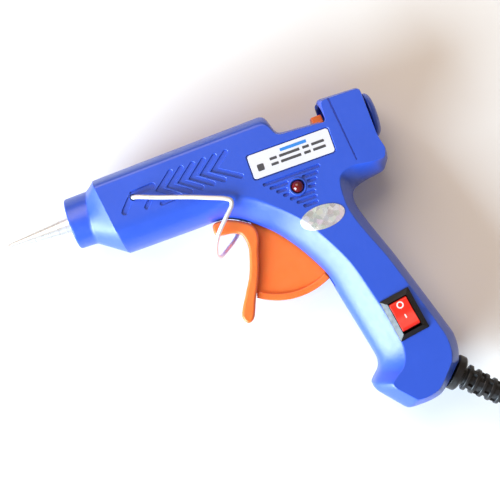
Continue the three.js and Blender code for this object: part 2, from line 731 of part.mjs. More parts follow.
// Along the strain relief's axis, down to the table and up to the side of the coil.
function cordLead() {
  const start = RELIEF_LENGTH + 2 * GAP;
  const exit = [
    RELIEF_BASE[0] + start * Math.cos(RELIEF_ANGLE),
    RELIEF_BASE[1] + start * Math.sin(RELIEF_ANGLE),
    0,
  ];
  return tube(
    curveThrough([
      exit,
      [164.9, -125.6, onTable(15.8)],
      [168.4, -129, onTable(14.3)],
      [172.1, -132.4, onTable(12)],
      [176, -135.6, onTable(9.4)],
      [180, -138.6, onTable(6.8)],
      [184.1, -141.5, onTable(4.6)],
      [187.4, -143.6, onTable(3.2)],
      [190.2, -145.3, onTable(CORD_FLOOR_Z)],
    ]),
    CORD_R,
    8,
    12,
  );
}

function coil() {
  const points = [
    [COIL_INNER_R, 0],
    [COIL_OUTER_R, 0],
    [COIL_OUTER_R, COIL_HEIGHT],
    [COIL_INNER_R, COIL_HEIGHT],
    [COIL_INNER_R, 0],
  ].map(([r, z]) => new THREE.Vector2(r, z));
  const geometry = new THREE.LatheGeometry(points, 48);
  geometry.rotateX(Math.PI / 2);
  geometry.translate(...COIL_CENTRE, onTable(0));
  return solid(geometry);
}

// From the coil's rim over its top, and on to the plug.
function cordTail() {
  const onTop = COIL_HEIGHT + CORD_R + GAP;
  return tube(
    curveThrough([
      [248.3, -151.6, onTable(onTop)],
      [254.2, -145.6, onTable(onTop)],
      [257.5, -139.6, onTable(onTop)],
      [258.7, -132.5, onTable(onTop)],
      [256.3, -125.7, onTable(13.3)],
      [250.7, -121, onTable(14.2)],
      [244.8, -119.8, onTable(15.4)],
      [238, -120, onTable(16.6)],
      [PLUG_END[0] + 2 * GAP, PLUG_END[1], onTable(PLUG_Z)],
    ]),
    CORD_R,
    8,
    14,
  );
}

// A two-blade mains plug lying flat: a tapered neck at the cord, then the body.
function plugBody() {
  const [length, width, height] = PLUG_SIZE;
  const stations = [
    [0, 4, 4],
    [PLUG_NECK - 4, 4.4, 4.6],
    [PLUG_NECK, width / 2, height / 2],
    [PLUG_NECK + length, width / 2, height / 2],
  ];
  const octagon = arc([0, 0], 1 / Math.cos(Math.PI / 8), 22.5, 337.5, 7);
  const rings = stations.map(([d, half, tall]) =>
    octagon.map(([u, v]) => new THREE.Vector3(d, half * u, tall * v)),
  );
  const body = loft(rings, (p) => new THREE.Vector2(p.y, p.z));
  return placedOnPlug(geometryOf(body));
}

function placedOnPlug(geometry) {
  geometry.rotateZ(PLUG_ANGLE);
  geometry.translate(...PLUG_END, onTable(PLUG_Z));
  return solid(geometry);
}

function plugBlade(side) {
  const [length, thick, tall] = PLUG_BLADE;
  const geometry = new THREE.BoxGeometry(length, thick, tall);
  geometry.translate(PLUG_NECK + PLUG_SIZE[0] + GAP + length / 2, (side * PLUG_BLADE_SPACING) / 2, 0);
  return placedOnPlug(geometry);
}

// ---- assembly ----
part("housing_left", leftHousing(), BLUE);
part("housing_right", rightHousing(), BLUE);
part("inlet_ring", inletRing(), BLUE);
part("nozzle", nozzle(), STEEL);
part("melt_chamber", meltChamber(), ALUMINIUM);
part("ptc_heater", heater(), CERAMIC);
part("heater_clip", heaterClip(), STEEL);
part("silicone_sleeve", sleeve(), SILICONE);
part("sleeve_clip", sleeveClip(), STEEL);
part("feeder_carriage", feederCarriage(), ORANGE);
part("return_spring", returnSpring(), STEEL);
part("trigger", trigger(), ORANGE);
part("trigger_pin", triggerPin(), STEEL);
part("wire_stand", wireStand(), STEEL);
part("led_lamp", ledLamp(), LENS);
part("led_resistor", ledResistor(), SILICONE);
part("rating_label", ratingLabel(), LABEL);
part("inspection_sticker", inspectionSticker(), FOIL);
part("switch_body", switchBody(), BLACK);
part("rocker", rocker(), RED);
[-3.6, 3.6].forEach((offset, i) => part(`switch_terminal_${i + 1}`, switchTerminal(offset), BRASS));
SCREWS.forEach((place, i) => part(`housing_screw_${i + 1}`, screw(place), STEEL));
for (const [name, path] of Object.entries(WIRE_PATHS))
  part(name, wire(path), name === "neutral_wire" ? WIRE_WHITE : WIRE_RED);
part("strain_relief", strainRelief(), RUBBER);
part("cord_lead", cordLead(), BLACK);
part("cord_coil", coil(), BLACK);
part("cord_tail", cordTail(), BLACK);
part("plug_body", plugBody(), BLACK);
[-1, 1].forEach((side, i) => part(`plug_blade_${i + 1}`, plugBlade(side), BRASS));

export default gun;
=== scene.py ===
import math

import bmesh
import bpy
import numpy as np
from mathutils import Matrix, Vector
from mathutils.bvhtree import BVHTree


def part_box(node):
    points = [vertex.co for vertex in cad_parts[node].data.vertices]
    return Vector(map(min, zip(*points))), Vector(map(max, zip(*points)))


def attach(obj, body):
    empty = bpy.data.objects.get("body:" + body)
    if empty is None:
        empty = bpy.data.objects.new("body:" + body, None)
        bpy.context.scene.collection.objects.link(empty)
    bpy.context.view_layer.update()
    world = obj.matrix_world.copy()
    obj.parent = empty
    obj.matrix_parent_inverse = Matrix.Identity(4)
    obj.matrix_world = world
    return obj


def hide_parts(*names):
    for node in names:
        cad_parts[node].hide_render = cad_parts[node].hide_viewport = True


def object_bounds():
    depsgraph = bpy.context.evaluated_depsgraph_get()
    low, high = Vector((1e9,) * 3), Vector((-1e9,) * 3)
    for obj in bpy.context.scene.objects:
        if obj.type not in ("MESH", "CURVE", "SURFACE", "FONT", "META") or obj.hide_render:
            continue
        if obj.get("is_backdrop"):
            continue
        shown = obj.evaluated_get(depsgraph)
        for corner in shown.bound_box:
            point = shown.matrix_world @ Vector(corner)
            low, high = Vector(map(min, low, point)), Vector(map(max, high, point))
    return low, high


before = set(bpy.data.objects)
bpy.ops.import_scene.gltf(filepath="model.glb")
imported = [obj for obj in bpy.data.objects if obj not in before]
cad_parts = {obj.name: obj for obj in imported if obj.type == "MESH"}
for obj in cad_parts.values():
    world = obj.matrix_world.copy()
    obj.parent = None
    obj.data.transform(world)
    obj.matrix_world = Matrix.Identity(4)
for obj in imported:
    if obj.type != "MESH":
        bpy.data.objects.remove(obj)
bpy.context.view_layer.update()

# ---- the drawing frame: millimetres from the nozzle's tip, x along the barrel, t up from the parting plane
MM = 0.001
TIP_LOW, TIP_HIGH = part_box("nozzle")
TIP_X = TIP_LOW[0]
AXIS_Y = (TIP_LOW[1] + TIP_HIGH[1]) / 2
MID_Z = (TIP_LOW[2] + TIP_HIGH[2]) / 2


def place(x, y, t):
    return Vector((TIP_X + x * MM, AXIS_Y + y * MM, MID_Z + t * MM))


def drawn(point):
    """A point of the row frame in the drawing frame."""
    return (
        (point[0] - TIP_X) / MM,
        (point[1] - AXIS_Y) / MM,
        (point[2] - MID_Z) / MM,
    )


def node_box(node):
    low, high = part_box(node)
    return np.array(drawn(low)), np.array(drawn(high))


def node_centre(node):
    low, high = node_box(node)
    return (low + high) / 2


def added(thing):
    bpy.context.scene.collection.objects.link(thing)
    return thing


HALF_WIDTH = node_box("housing_left")[1][2]
TABLE_T = -MID_Z / MM
PART_GAP = node_box("housing_left")[0][2]

# ---- camera ----
CAMERA_TARGET = (80.7, -30.0)
CAMERA_ROLL = math.radians(-19.7)
CAMERA_HEIGHT = 447.0
CAMERA_LENS = 90.0


def add_camera():
    data = bpy.data.cameras.new("camera")
    data.lens = CAMERA_LENS
    data.sensor_width = 36.0
    data.clip_start = 0.01
    camera = added(bpy.data.objects.new("camera", data))
    camera.location = place(*CAMERA_TARGET, CAMERA_HEIGHT)
    camera.rotation_euler = (0, 0, CAMERA_ROLL)
    bpy.context.scene.camera = camera


add_camera()

# ---- curves ----


def between(a, b, at_a, at_b, u):
    return (at_b - u) / (at_b - at_a) * a + (u - at_a) / (at_b - at_a) * b


def smooth_through(rows, spacing):
    """A centripetal Catmull-Rom curve through rows of numbers, whose first three are the place."""
    p = np.array(rows, float)
    p = np.vstack([2 * p[0] - p[1], p, 2 * p[-1] - p[-2]])
    out = []
    for i in range(1, len(p) - 2):
        q = p[i - 1 : i + 3]
        gaps = np.maximum(np.linalg.norm(np.diff(q[:, :3], axis=0), axis=1), 1e-6)
        k = np.concatenate([[0], np.cumsum(np.sqrt(gaps))])
        steps = max(1, round(gaps[1] / spacing))
        for u in np.linspace(k[1], k[2], steps, endpoint=False):
            a = [between(q[j], q[j + 1], k[j], k[j + 1], u) for j in range(3)]
            b = [between(a[j], a[j + 1], k[j], k[j + 2], u) for j in range(2)]
            out.append(between(b[0], b[1], k[1], k[2], u))
    out.append(p[-2])
    return np.array(out)


def straight(a, b, spacing):
    a, b = np.array(a, float), np.array(b, float)
    steps = max(1, round(float(np.linalg.norm((b - a)[:2])) / spacing))
    return np.array([a + (b - a) * i / steps for i in range(steps + 1)])


def trimmed(run, start, end):
    """A polyline with a length taken off each end."""
    for length in (start, end):
        run = run[::-1]
        gone = 0.0
        while length > 0 and len(run) > 2:
            step = float(np.linalg.norm((run[-1] - run[-2])[:2]))
            if gone + step > length:
                share = (length - gone) / step
                run = np.vstack([run[:-1], run[-1] + (run[-2] - run[-1]) * share])
                break
            gone += step
            run = run[:-1]
    return run


def corner_curve(start, corner, end, u):
    """A point of the curve that rounds a corner off."""
    return (1 - u) ** 2 * start + 2 * u * (1 - u) * corner + u**2 * end


def drawn_in(outline, inset):
    """A clockwise outline with each point moved inwards."""
    ahead = np.roll(outline, -1, axis=0) - np.roll(outline, 1, axis=0)
    outward = np.stack([-ahead[:, 1], ahead[:, 0]], axis=1) / np.linalg.norm(ahead, axis=1)[:, None]
    return outline - outward * inset


def rounded_outline(rows, spacing=1.2, fillet_steps=4):
    """A closed outline. Each row ends with its corner's rounding, or 0 where the curve runs on."""
    rows = np.array(rows, float)
    values, rounding = rows[:, :-1], rows[:, -1]
    corners = [i for i in range(len(rows)) if rounding[i] > 0]
    runs = []
    for a, b in zip(corners, corners[1:] + [corners[0] + len(rows)]):
        stretch = values[[i % len(rows) for i in range(a, b + 1)]]
        run = smooth_through(stretch, spacing) if len(stretch) > 2 else straight(*stretch, spacing)
        runs.append(trimmed(run, rounding[a], rounding[b % len(rows)]))
    out = []
    for n, run in enumerate(runs):
        before, corner = runs[n - 1][-1], values[corners[n]]
        for i in range(1, fillet_steps):
            out.append(corner_curve(before, corner, run[0], i / fillet_steps))
        out.extend(run)
    return np.array(out)


# ---- mesh helpers ----


def new_object(name, points, faces):
    mesh = bpy.data.meshes.new(name)
    mesh.from_pydata([place(*p) for p in points], [], faces)
    work = bmesh.new()
    work.from_mesh(mesh)
    bmesh.ops.remove_doubles(work, verts=work.verts, dist=2e-6)
    bmesh.ops.recalc_face_normals(work, faces=work.faces)
    work.to_mesh(mesh)
    work.free()
    return added(bpy.data.objects.new(name, mesh))


def bands(rings):
    """The faces between neighbouring rings of equal length."""
    count = len(rings[0])
    faces = []
    for k in range(len(rings) - 1):
        for i in range(count):
            a, b = k * count + i, k * count + (i + 1) % count
            faces.append((a, b, b + count, a + count))
    return faces


def caps(rings):
    """The faces that close the first and the last ring."""
    count, total = len(rings[0]), len(rings) * len(rings[0])
    return [tuple(range(count)), tuple(range(total - 1, total - count - 1, -1))]


def loft(name, rings):
    """A closed solid over rings of equal length."""
    return new_object(name, [tuple(p) for ring in rings for p in ring], caps(rings) + bands(rings))


def prism(name, outline, t0, t1):
    return loft(name, [[(x, y, t) for x, y in outline] for t in (t0, t1)])


def pillow(name, outline, half, radius, steps=5):
    """A plate over a clockwise outline, from -half to half, with its edges rounded.

    Points nearer than 0.3 to the one before are left out, so that the rounding can't cross itself.
    """
    outline = np.array(outline)[:, :2]
    outline = outline[np.linalg.norm(outline - np.roll(outline, 1, axis=0), axis=1) > 0.3]
    lower = []
    for i in range(steps + 1):
        a = math.pi / 2 * (1 - i / steps)
        lower.append((-half + radius * (1 - math.sin(a)), radius * (1 - math.cos(a))))
    levels = lower + [(-t, inset) for t, inset in reversed(lower)]
    return loft(name, [[(x, y, t) for x, y in drawn_in(outline, inset)] for t, inset in levels])


def powered(x, power):
    return math.copysign(abs(x) ** power, x)


def block(name, x0, x1, y0, y1, t0, t1):
    return prism(name, [(x0, y0), (x1, y0), (x1, y1), (x0, y1)], t0, t1)


def circle(x, y, radius, sides=40):
    turns = [2 * math.pi * i / sides for i in range(sides)]
    return [(x + radius * math.cos(a), y + radius * math.sin(a)) for a in turns]


def turned(name, profile, centre=(0, 0, 0), axis=(1, 0, 0), sides=48):
    """A profile of (distance, radius) turned about an axis. It closes on itself, or its ends get caps."""
    axis = Vector(axis).normalized()
    side = axis.orthogonal().normalized()
    other = axis.cross(side)
    rings = []
    for d, r in profile:
        ring = []
        for i in range(sides):
            a = 2 * math.pi * i / sides
            ring.append(Vector(centre) + axis * d + side * (r * math.cos(a)) + other * (r * math.sin(a)))
        rings.append(ring)
    closed = profile[0] == profile[-1]
    faces = bands(rings) + ([] if closed else caps(rings))
    return new_object(name, [tuple(p) for ring in rings for p in ring], faces)


def softened(profile, radius, steps=3):
    """A profile with its corners rounded, apart from its first and last."""
    p = [np.array(q, float) for q in profile]
    out = [p[0]]
    for before, here, after in zip(p, p[1:], p[2:]):
        a, b = before - here, after - here
        la, lb = np.linalg.norm(a), np.linalg.norm(b)
        cut = min(radius, la * 0.45, lb * 0.45)
        start, end = here + a / la * cut, here + b / lb * cut
        for i in range(steps + 1):
            out.append(corner_curve(start, here, end, i / steps))
    out.append(p[-1])
    return [tuple(q) for q in out]


def sweep(name, path, r, sides=16):
    """A round bar along a path."""
    path = [Vector(p) for p in path]
    tangents = []
    for i in range(len(path)):
        ahead, behind = path[min(i + 1, len(path) - 1)], path[max(i - 1, 0)]
        tangents.append((ahead - behind).normalized())
    side = tangents[0].orthogonal().normalized()
    rings = []
    for p, tangent in zip(path, tangents):
        side = (side - tangent * side.dot(tangent)).normalized()
        other = tangent.cross(side)
        turns = [2 * math.pi * n / sides for n in range(sides)]
        rings.append([p + side * (r * math.cos(a)) + other * (r * math.sin(a)) for a in turns])
    return loft(name, rings)


def applied(target):
    """The target with its modifiers applied."""
    baked = bpy.data.meshes.new_from_object(target.evaluated_get(bpy.context.evaluated_depsgraph_get()))
    target.modifiers.clear()
    target.data = baked
    return target


def carve(target, tools, operation="DIFFERENCE"):
    """The target cut by the tools, joined to them or kept within them. The tools are used up."""
    for tool in tools:
        step = target.modifiers.new("carve", "BOOLEAN")
        step.operation = operation
        step.solver = "MANIFOLD"
        step.object = tool
    applied(target)
    for tool in tools:
        bpy.data.objects.remove(tool)
    return target


def eased(target, width, segments=3, angle=35):
    """Edges sharper than the angle get a small rounding."""
    step = target.modifiers.new("ease", "BEVEL")
    step.width = width * MM
    step.segments = segments
    step.limit_method = "ANGLE"
    step.angle_limit = math.radians(angle)
    step.use_clamp_overlap = True
    return applied(target)


def copy_of(source, name):
    made = added(source.copy())
    made.data = source.data.copy()
    made.name = name
    return made


def finished(piece, material, body, slot, *nodes, angle=35, weighted=True):
    """Shading, material, body and the CAD nodes that the piece stands for. The slot is not used."""
    mesh = piece.data
    mesh.materials.clear()
    mesh.materials.append(material)
    mesh.shade_smooth()
    mesh.set_sharp_from_angle(angle=math.radians(angle))
    if weighted:
        step = piece.modifiers.new("weighted", "WEIGHTED_NORMAL")
        step.keep_sharp = True
    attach(piece, body)
    if nodes:
        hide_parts(*nodes)
    return piece


# ---- materials ----


class Surface:
    """A Principled material with procedural variation, made step by step."""

    def __init__(self, name, colour, roughness, metallic=0.0):
        self.material = bpy.data.materials.new(name)
        self.material.use_nodes = True
        self.tree = self.material.node_tree
        self.shader = self.tree.nodes["Principled BSDF"]
        self.shader.inputs["Base Color"].default_value = (*colour, 1)
        self.shader.inputs["Roughness"].default_value = roughness
        self.shader.inputs["Metallic"].default_value = metallic
        self.colour = colour
        self.roughness = roughness
        self.place = self.node("ShaderNodeTexCoord").outputs["Object"]
        self.height = None

    def node(self, kind, **values):
        made = self.tree.nodes.new(kind)
        for key, value in values.items():
            if hasattr(made, key):
                setattr(made, key, value)
            else:
                made.inputs[key.replace("_", " ")].default_value = value
        return made

    def link(self, output, target):
        self.tree.links.new(output, target)

    def noise(self, size_mm, detail, stretch=None):
        made = self.node("ShaderNodeTexNoise", Scale=1 / (size_mm * MM), Detail=detail)
        source = self.place
        if stretch:
            mapping = self.node("ShaderNodeMapping", Scale=stretch)
            self.link(self.place, mapping.inputs["Vector"])
            source = mapping.outputs["Vector"]
        self.link(source, made.inputs["Vector"])
        return made.outputs["Fac"]

    def ranged(self, noise, low, high):
        """Noise, which stays mostly between 0.3 and 0.7, spread from low to high."""
        made = self.node("ShaderNodeMapRange", From_Min=0.3, From_Max=0.7, To_Min=low, To_Max=high)
        self.link(noise, made.inputs["Value"])
        return made.outputs["Result"]

    def mixed(self, factor, colours):
        """The base colour mixed from two, each a colour or an output, by a share or an output."""
        mix = self.node("ShaderNodeMix", data_type="RGBA")
        sockets = [k for k in mix.inputs if k.type == "RGBA"]
        sockets.append(next(k for k in mix.inputs if k.type == "VALUE" and k.name == "Factor"))
        for socket, value in zip(sockets, (*colours, factor)):
            if isinstance(value, bpy.types.NodeSocket):
                self.link(value, socket)
            else:
                socket.default_value = (*value, 1) if isinstance(value, tuple) else value
        result = next(k for k in mix.outputs if k.type == "RGBA")
        self.link(result, self.shader.inputs["Base Color"])

    def rough(self, value, spread):
        result = self.ranged(value, self.roughness - spread, self.roughness + spread)
        self.link(result, self.shader.inputs["Roughness"])

    def bump(self, value, depth_mm):
        made = self.node("ShaderNodeBump", Strength=1.0, Distance=depth_mm * MM)
        self.link(value, made.inputs["Height"])
        if self.height:
            self.link(self.height, made.inputs["Normal"])
        self.height = made.outputs["Normal"]
        self.link(self.height, self.shader.inputs["Normal"])


def surface(
    name, colours, roughness, tint, grain, bumps, metallic=0.0, stretches=(None, None, None), **constants
):
    """A material that drifts between two colours, with grain in its roughness and fine relief.

    tint is (size, detail), grain is (size, detail, spread) and each bump is (size, detail, depth), in mm.
    """
    s = Surface(name, colours[0], roughness, metallic)
    s.mixed(s.ranged(s.noise(*tint, stretches[0]), 0, 1), colours)
    s.rough(s.noise(*grain[:2], stretches[1]), grain[2])
    for size, detail, depth in bumps:
        s.bump(s.noise(size, detail, stretches[2]), depth)
    for key, value in constants.items():
        s.shader.inputs[key.replace("_", " ")].default_value = value
    return s.material


def plain_metal(name, colour, roughness):
    duller = tuple(c * 0.82 for c in colour)
    return surface(name, (colour, duller), roughness, (2.5, 4), (1.0, 4, 0.08), [(0.4, 3, 0.006)], 1.0)


def plain_matter(name, colour, roughness):
    darker = tuple(c * 0.85 for c in colour)
    return surface(name, (colour, darker), roughness, (2, 4), (1.0, 4, 0.06), [(0.4, 3, 0.01)])


def foil():
    """Crinkled holographic foil: small tilted facets, each with its own faint rainbow tint."""
    s = Surface("foil", (0.72, 0.72, 0.76), 0.25, 0.45)
    cells = s.node("ShaderNodeTexVoronoi", Scale=1 / (1.7 * MM), feature="F1")
    s.link(s.place, cells.inputs["Vector"])
    hue = s.node("ShaderNodeHueSaturation", Saturation=0.22, Value=0.95)
    s.link(cells.outputs["Color"], hue.inputs["Color"])
    s.mixed(0.55, ((0.66, 0.66, 0.70), hue.outputs["Color"]))
    s.rough(s.noise(1.1, 3), 0.1)
    s.bump(cells.outputs["Distance"], 0.05)
    s.bump(s.noise(3.5, 2), 0.12)
    return s.material


BLUE = surface(
    "blue_plastic", ((0.016, 0.080, 0.56), (0.020, 0.088, 0.60)), 0.36,
    (14, 4), (1.6, 4, 0.04), [(0.4, 2, 0.02), (1.1, 2, 0.016)], IOR=1.66,
)
ORANGE = surface(
    "orange_plastic", ((0.95, 0.19, 0.035), (0.93, 0.21, 0.045)), 0.34,
    (9, 3), (2.5, 4, 0.06), [(0.5, 2, 0.008)],
    Subsurface_Weight=0.4, Subsurface_Radius=(0.005, 0.001, 0.0003),
)
RED = surface(
    "red_plastic", ((0.85, 0.02, 0.008), (0.88, 0.028, 0.012)), 0.4,
    (4, 3), (1.5, 4, 0.06), [(0.4, 2, 0.004)],
)
BLACK = surface(
    "black_plastic", ((0.007, 0.007, 0.008), (0.012, 0.012, 0.014)), 0.36,
    (5, 3), (1.2, 4, 0.07), [(0.3, 2, 0.008)],
)
RUBBER = surface(
    "black_rubber", ((0.009, 0.009, 0.010), (0.014, 0.014, 0.016)), 0.36,
    (3, 4), (1.4, 4, 0.1), [(0.4, 3, 0.012)],
)
NOZZLE_METAL = surface(
    "turned_metal", ((0.88, 0.88, 0.88), (0.80, 0.80, 0.80)), 0.3,
    (4, 3), (1.0, 4, 0.05), [(0.3, 2, 0.0012)], 0.7, ((1, 0.2, 0.2), (1, 0.1, 0.1), (1, 0.02, 0.02)),
)
WIRE_METAL = surface(
    "drawn_wire", ((0.90, 0.90, 0.90), (0.84, 0.84, 0.84)), 0.36,
    (6, 3), (1.6, 3, 0.05), [(0.5, 2, 0.0008)], 0.6,
)
SPRING_STEEL = plain_metal("spring_steel", (0.5, 0.5, 0.51), 0.3)
SCREW_STEEL = plain_metal("screw_steel", (0.42, 0.42, 0.44), 0.32)
ALUMINIUM = plain_metal("cast_aluminium", (0.6, 0.61, 0.62), 0.45)
BRASS = plain_metal("brass", (0.72, 0.53, 0.22), 0.28)
CERAMIC = plain_matter("heater_ceramic", (0.3, 0.28, 0.25), 0.7)
SILICONE = plain_matter("silicone", (0.72, 0.7, 0.64), 0.5)
RED_WIRE = plain_matter("red_wire", (0.45, 0.02, 0.02), 0.4)
WHITE_WIRE = plain_matter("white_wire", (0.75, 0.75, 0.72), 0.4)
LENS = surface(
    "red_lens", ((0.12, 0.003, 0.004), (0.17, 0.005, 0.007)), 0.12,
    (1.5, 3), (0.8, 3, 0.04), [(0.6, 2, 0.003)], Coat_Weight=0.6, Coat_Roughness=0.06,
)
LABEL_FILM = surface(
    "label_film", ((0.72, 0.73, 0.80), (0.76, 0.77, 0.83)), 0.3,
    (7, 3), (3, 3, 0.05), [(1.4, 2, 0.004)],
)
FOIL = foil()
INK = plain_matter("grey_ink", (0.07, 0.07, 0.08), 0.4)
BLUE_INK = plain_matter("blue_ink", (0.03, 0.25, 0.75), 0.4)
WHITE_INK = plain_matter("white_ink", (0.85, 0.85, 0.84), 0.4)

# ---- the lead: out of the strain relief, down to the table, six turns in two layers, and to the plug ----
RELIEF_BASE = (134.4, -95.1)
RELIEF_TURN = math.radians(-45)
RELIEF_AXIS = (math.cos(RELIEF_TURN), math.sin(RELIEF_TURN), 0)
RELIEF_LENGTH = 38.0
CORD_R = 2.5
CORD_FLOOR = 2.55
COIL_CENTRE = (225.8, -124.8)
COIL_START = math.radians(-115)
COIL_R = (35.0, 20.0)
COIL_LAYERS = (CORD_FLOOR, 7.5, 12.85)
COIL_TURNS = 6.25
COIL_STEPS = 24
PLUG_END = (228.0, -120.0)
PLUG_AXIS = (-1, 0, 0)
PLUG_Z = 17.1


def rise(u):
    """From 0 to 1, level at both ends."""
    u = min(1.0, max(0.0, u))
    return u * u * (3 - 2 * u)


def coil_station(turn):
    """Radius and height after some turns: in over three, up, out again over the top, and up once more."""
    inwards = min(turn / 3, 1.0)
    outwards = min(max(turn - 3.25, 0.0) / 2.75, 1.0)
    radius = COIL_R[0] + (COIL_R[1] - COIL_R[0]) * (inwards - outwards)
    low, middle, high = COIL_LAYERS
    return radius, low + (middle - low) * rise((turn - 3.0) * 4) + (high - middle) * rise((turn - 6.0) * 4)


def coil_points():
    points = []
    for i in range(round(COIL_TURNS * COIL_STEPS) + 1):
        turn = i / COIL_STEPS
        radius, z = coil_station(turn)
        a = COIL_START + 2 * math.pi * turn
        x, y = COIL_CENTRE[0] + radius * math.cos(a), COIL_CENTRE[1] + radius * math.sin(a)
        points.append((x, y, TABLE_T + z))
    return points


def cord_route():
    exit_x = RELIEF_BASE[0] + RELIEF_LENGTH * RELIEF_AXIS[0]
    exit_y = RELIEF_BASE[1] + RELIEF_LENGTH * RELIEF_AXIS[1]
    lead = [
        (exit_x, exit_y, MID_Z / MM),
        (164.9, -125.6, 15.8),
        (168.4, -129.0, 14.3),
        (172.1, -132.4, 12.0),
        (176.0, -135.6, 9.4),
        (180.0, -138.6, 6.8),
        (184.1, -141.5, 4.6),
        (187.4, -143.6, 3.2),
        (190.2, -145.3, CORD_FLOOR),
        (196.0, -148.6, CORD_FLOOR),
        (203.4, -152.7, CORD_FLOOR),
    ]
    tail = [
        (258.7, -132.5, 12.9),
        (256.3, -125.7, 13.3),
        (250.7, -121.0, 14.2),
        (244.8, -119.8, 15.4),
        (238.0, -120.0, 16.6),
        (PLUG_END[0] - 0.4, PLUG_END[1], PLUG_Z),
    ]
    lead, tail = ([(x, y, TABLE_T + z) for x, y, z in rows] for rows in (lead, tail))
    return lead + coil_points() + tail


def mains_lead():
    route = smooth_through(cord_route(), 2.0)
    data = bpy.data.curves.new("mains_lead", "CURVE")
    data.dimensions = "3D"
    data.bevel_depth = CORD_R * MM
    data.bevel_resolution = 4
    data.use_fill_caps = True
    spline = data.splines.new("POLY")
    spline.points.add(len(route) - 1)
    for point, at in zip(spline.points, route):
        point.co = (*place(*at), 1)
    data.materials.append(RUBBER)
    lead = added(bpy.data.objects.new("mains_lead", data))
    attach(lead, "body")
    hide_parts("cord_lead", "cord_coil", "cord_tail")
    return lead, place(*cord_route()[0])


def strain_relief():
    """A flange, then a tapering sleeve of ring ribs held by four bars, with windows between them."""
    ribs, first, pitch, rib, bar_half = 9, 4.8, 3.2, 1.5, 0.8
    base = Vector((*RELIEF_BASE, 0))
    core = [(-4.4, 0), (-4.4, 4.9), (-3, 4.9), (-3, 3.6), (0, 3.6), (0, 6.45), (2.6, 6.45)]
    core += [(3.3, 5.6), (3.3, 3.2), (RELIEF_LENGTH - 2, 2.9), (RELIEF_LENGTH, 3.1), (RELIEF_LENGTH, 0)]
    body = turned("relief", softened(core, 0.35), base, RELIEF_AXIS, 40)
    joined = []

    def radius_at(d):
        return 4.85 - 0.05 * (d - 4)

    for i in range(ribs):
        d = first + pitch * i
        r = radius_at(d)
        ring = softened([(d, 0), (d, r), (d + rib, r - 0.04), (d + rib, 0)], 0.4)
        joined.append(turned(f"rib_{i}", ring, base, RELIEF_AXIS, 40))
    along = Vector(RELIEF_AXIS)
    side = Vector((-along.y, along.x, 0))
    for i in range(ribs - 1):
        d0, d1 = first + pitch * i + 0.5, first + pitch * (i + 1) + 1.0
        r = radius_at(d1) - 0.35
        section = [(-r, -bar_half), (r, -bar_half), (r, bar_half), (-r, bar_half)]
        for quarter in range(2):
            a = math.radians(45 + 90 * quarter + 45 * (i % 2))
            out = side * math.cos(a) + Vector((0, 0, 1)) * math.sin(a)
            cross = along.cross(out)
            rings = [[base + along * d + out * u + cross * v for u, v in section] for d in (d0, d1)]
            joined.append(loft(f"bar_{i}_{quarter}", rings))
    carve(body, joined, "UNION")
    return finished(body, RUBBER, "body", "black_rubber", "strain_relief", angle=40)


def plug():
    """Two-blade plug: a ribbed neck, then a body whose sides are pulled in for the fingers."""
    neck, length = 12.0, 24.0
    stations = [
        (0, 3.4, 3.4, 2.0), (0.6, 4.0, 4.0, 2.0), (7, 4.4, 4.6, 2.2),
        (9, 6.6, 5.4, 2.6), (12, 10.2, 6.3, 3.2), (15, 11.4, 6.75, 4.0),
        (22, 10.9, 6.5, 4.0), (28, 10.8, 6.4, 4.0), (33, 11.3, 6.7, 4.0),
    ]
    face_edge = [(neck + length - 0.8, 11.4, 6.75, 4.0), (neck + length, 10.7, 6.1, 4.0)]
    dense = np.vstack([smooth_through(stations, 1.2), face_edge])
    along = Vector(PLUG_AXIS)
    side = Vector((-along.y, along.x, 0))
    base = Vector((*PLUG_END, TABLE_T + PLUG_Z))
    rings = []
    for d, wide, tall, power in dense:
        ring = []
        for i in range(48):
            a = 2 * math.pi * i / 48
            c, s = math.cos(a), math.sin(a)
            u, v = powered(c, 2 / power) * wide, powered(s, 2 / power) * tall
            ring.append(base + along * d + side * u + Vector((0, 0, v)))
        rings.append(ring)
    body = finished(loft("plug", rings), BLACK, "body", "black_plastic", "plug_body", angle=50)
    blades = []
    for n, offset in enumerate((-6.35, 6.35)):
        node = f"plug_blade_{n + 1}"
        wide, thick, out, snip = 3.15, 0.75, 17.0, 1.6
        outline = [(0, -wide), (out - snip, -wide), (out, -wide + snip)]
        outline += [(d, -v) for d, v in outline[::-1]]
        root = base + along * (neck + length - 0.2) + side * offset
        face = [root + along * d + Vector((0, 0, v)) for d, v in outline]
        blade = loft(f"blade_{n + 1}", [[p + side * u for p in face] for u in (-thick, thick)])
        hole_at = base + along * (neck + length + out - 4) + side * offset
        hole = turned("hole", [(-2, 0), (-2, 1.6), (2, 1.6), (2, 0)], hole_at, side, 24)
        carve(blade, [hole])
        blades.append(finished(eased(blade, 0.2, 2), BRASS, "body", "brass", node))
    return body, blades


LEAD, LEAD_EXIT = mains_lead()
RELIEF = strain_relief()
PLUG, PLUG_BLADES = plug()

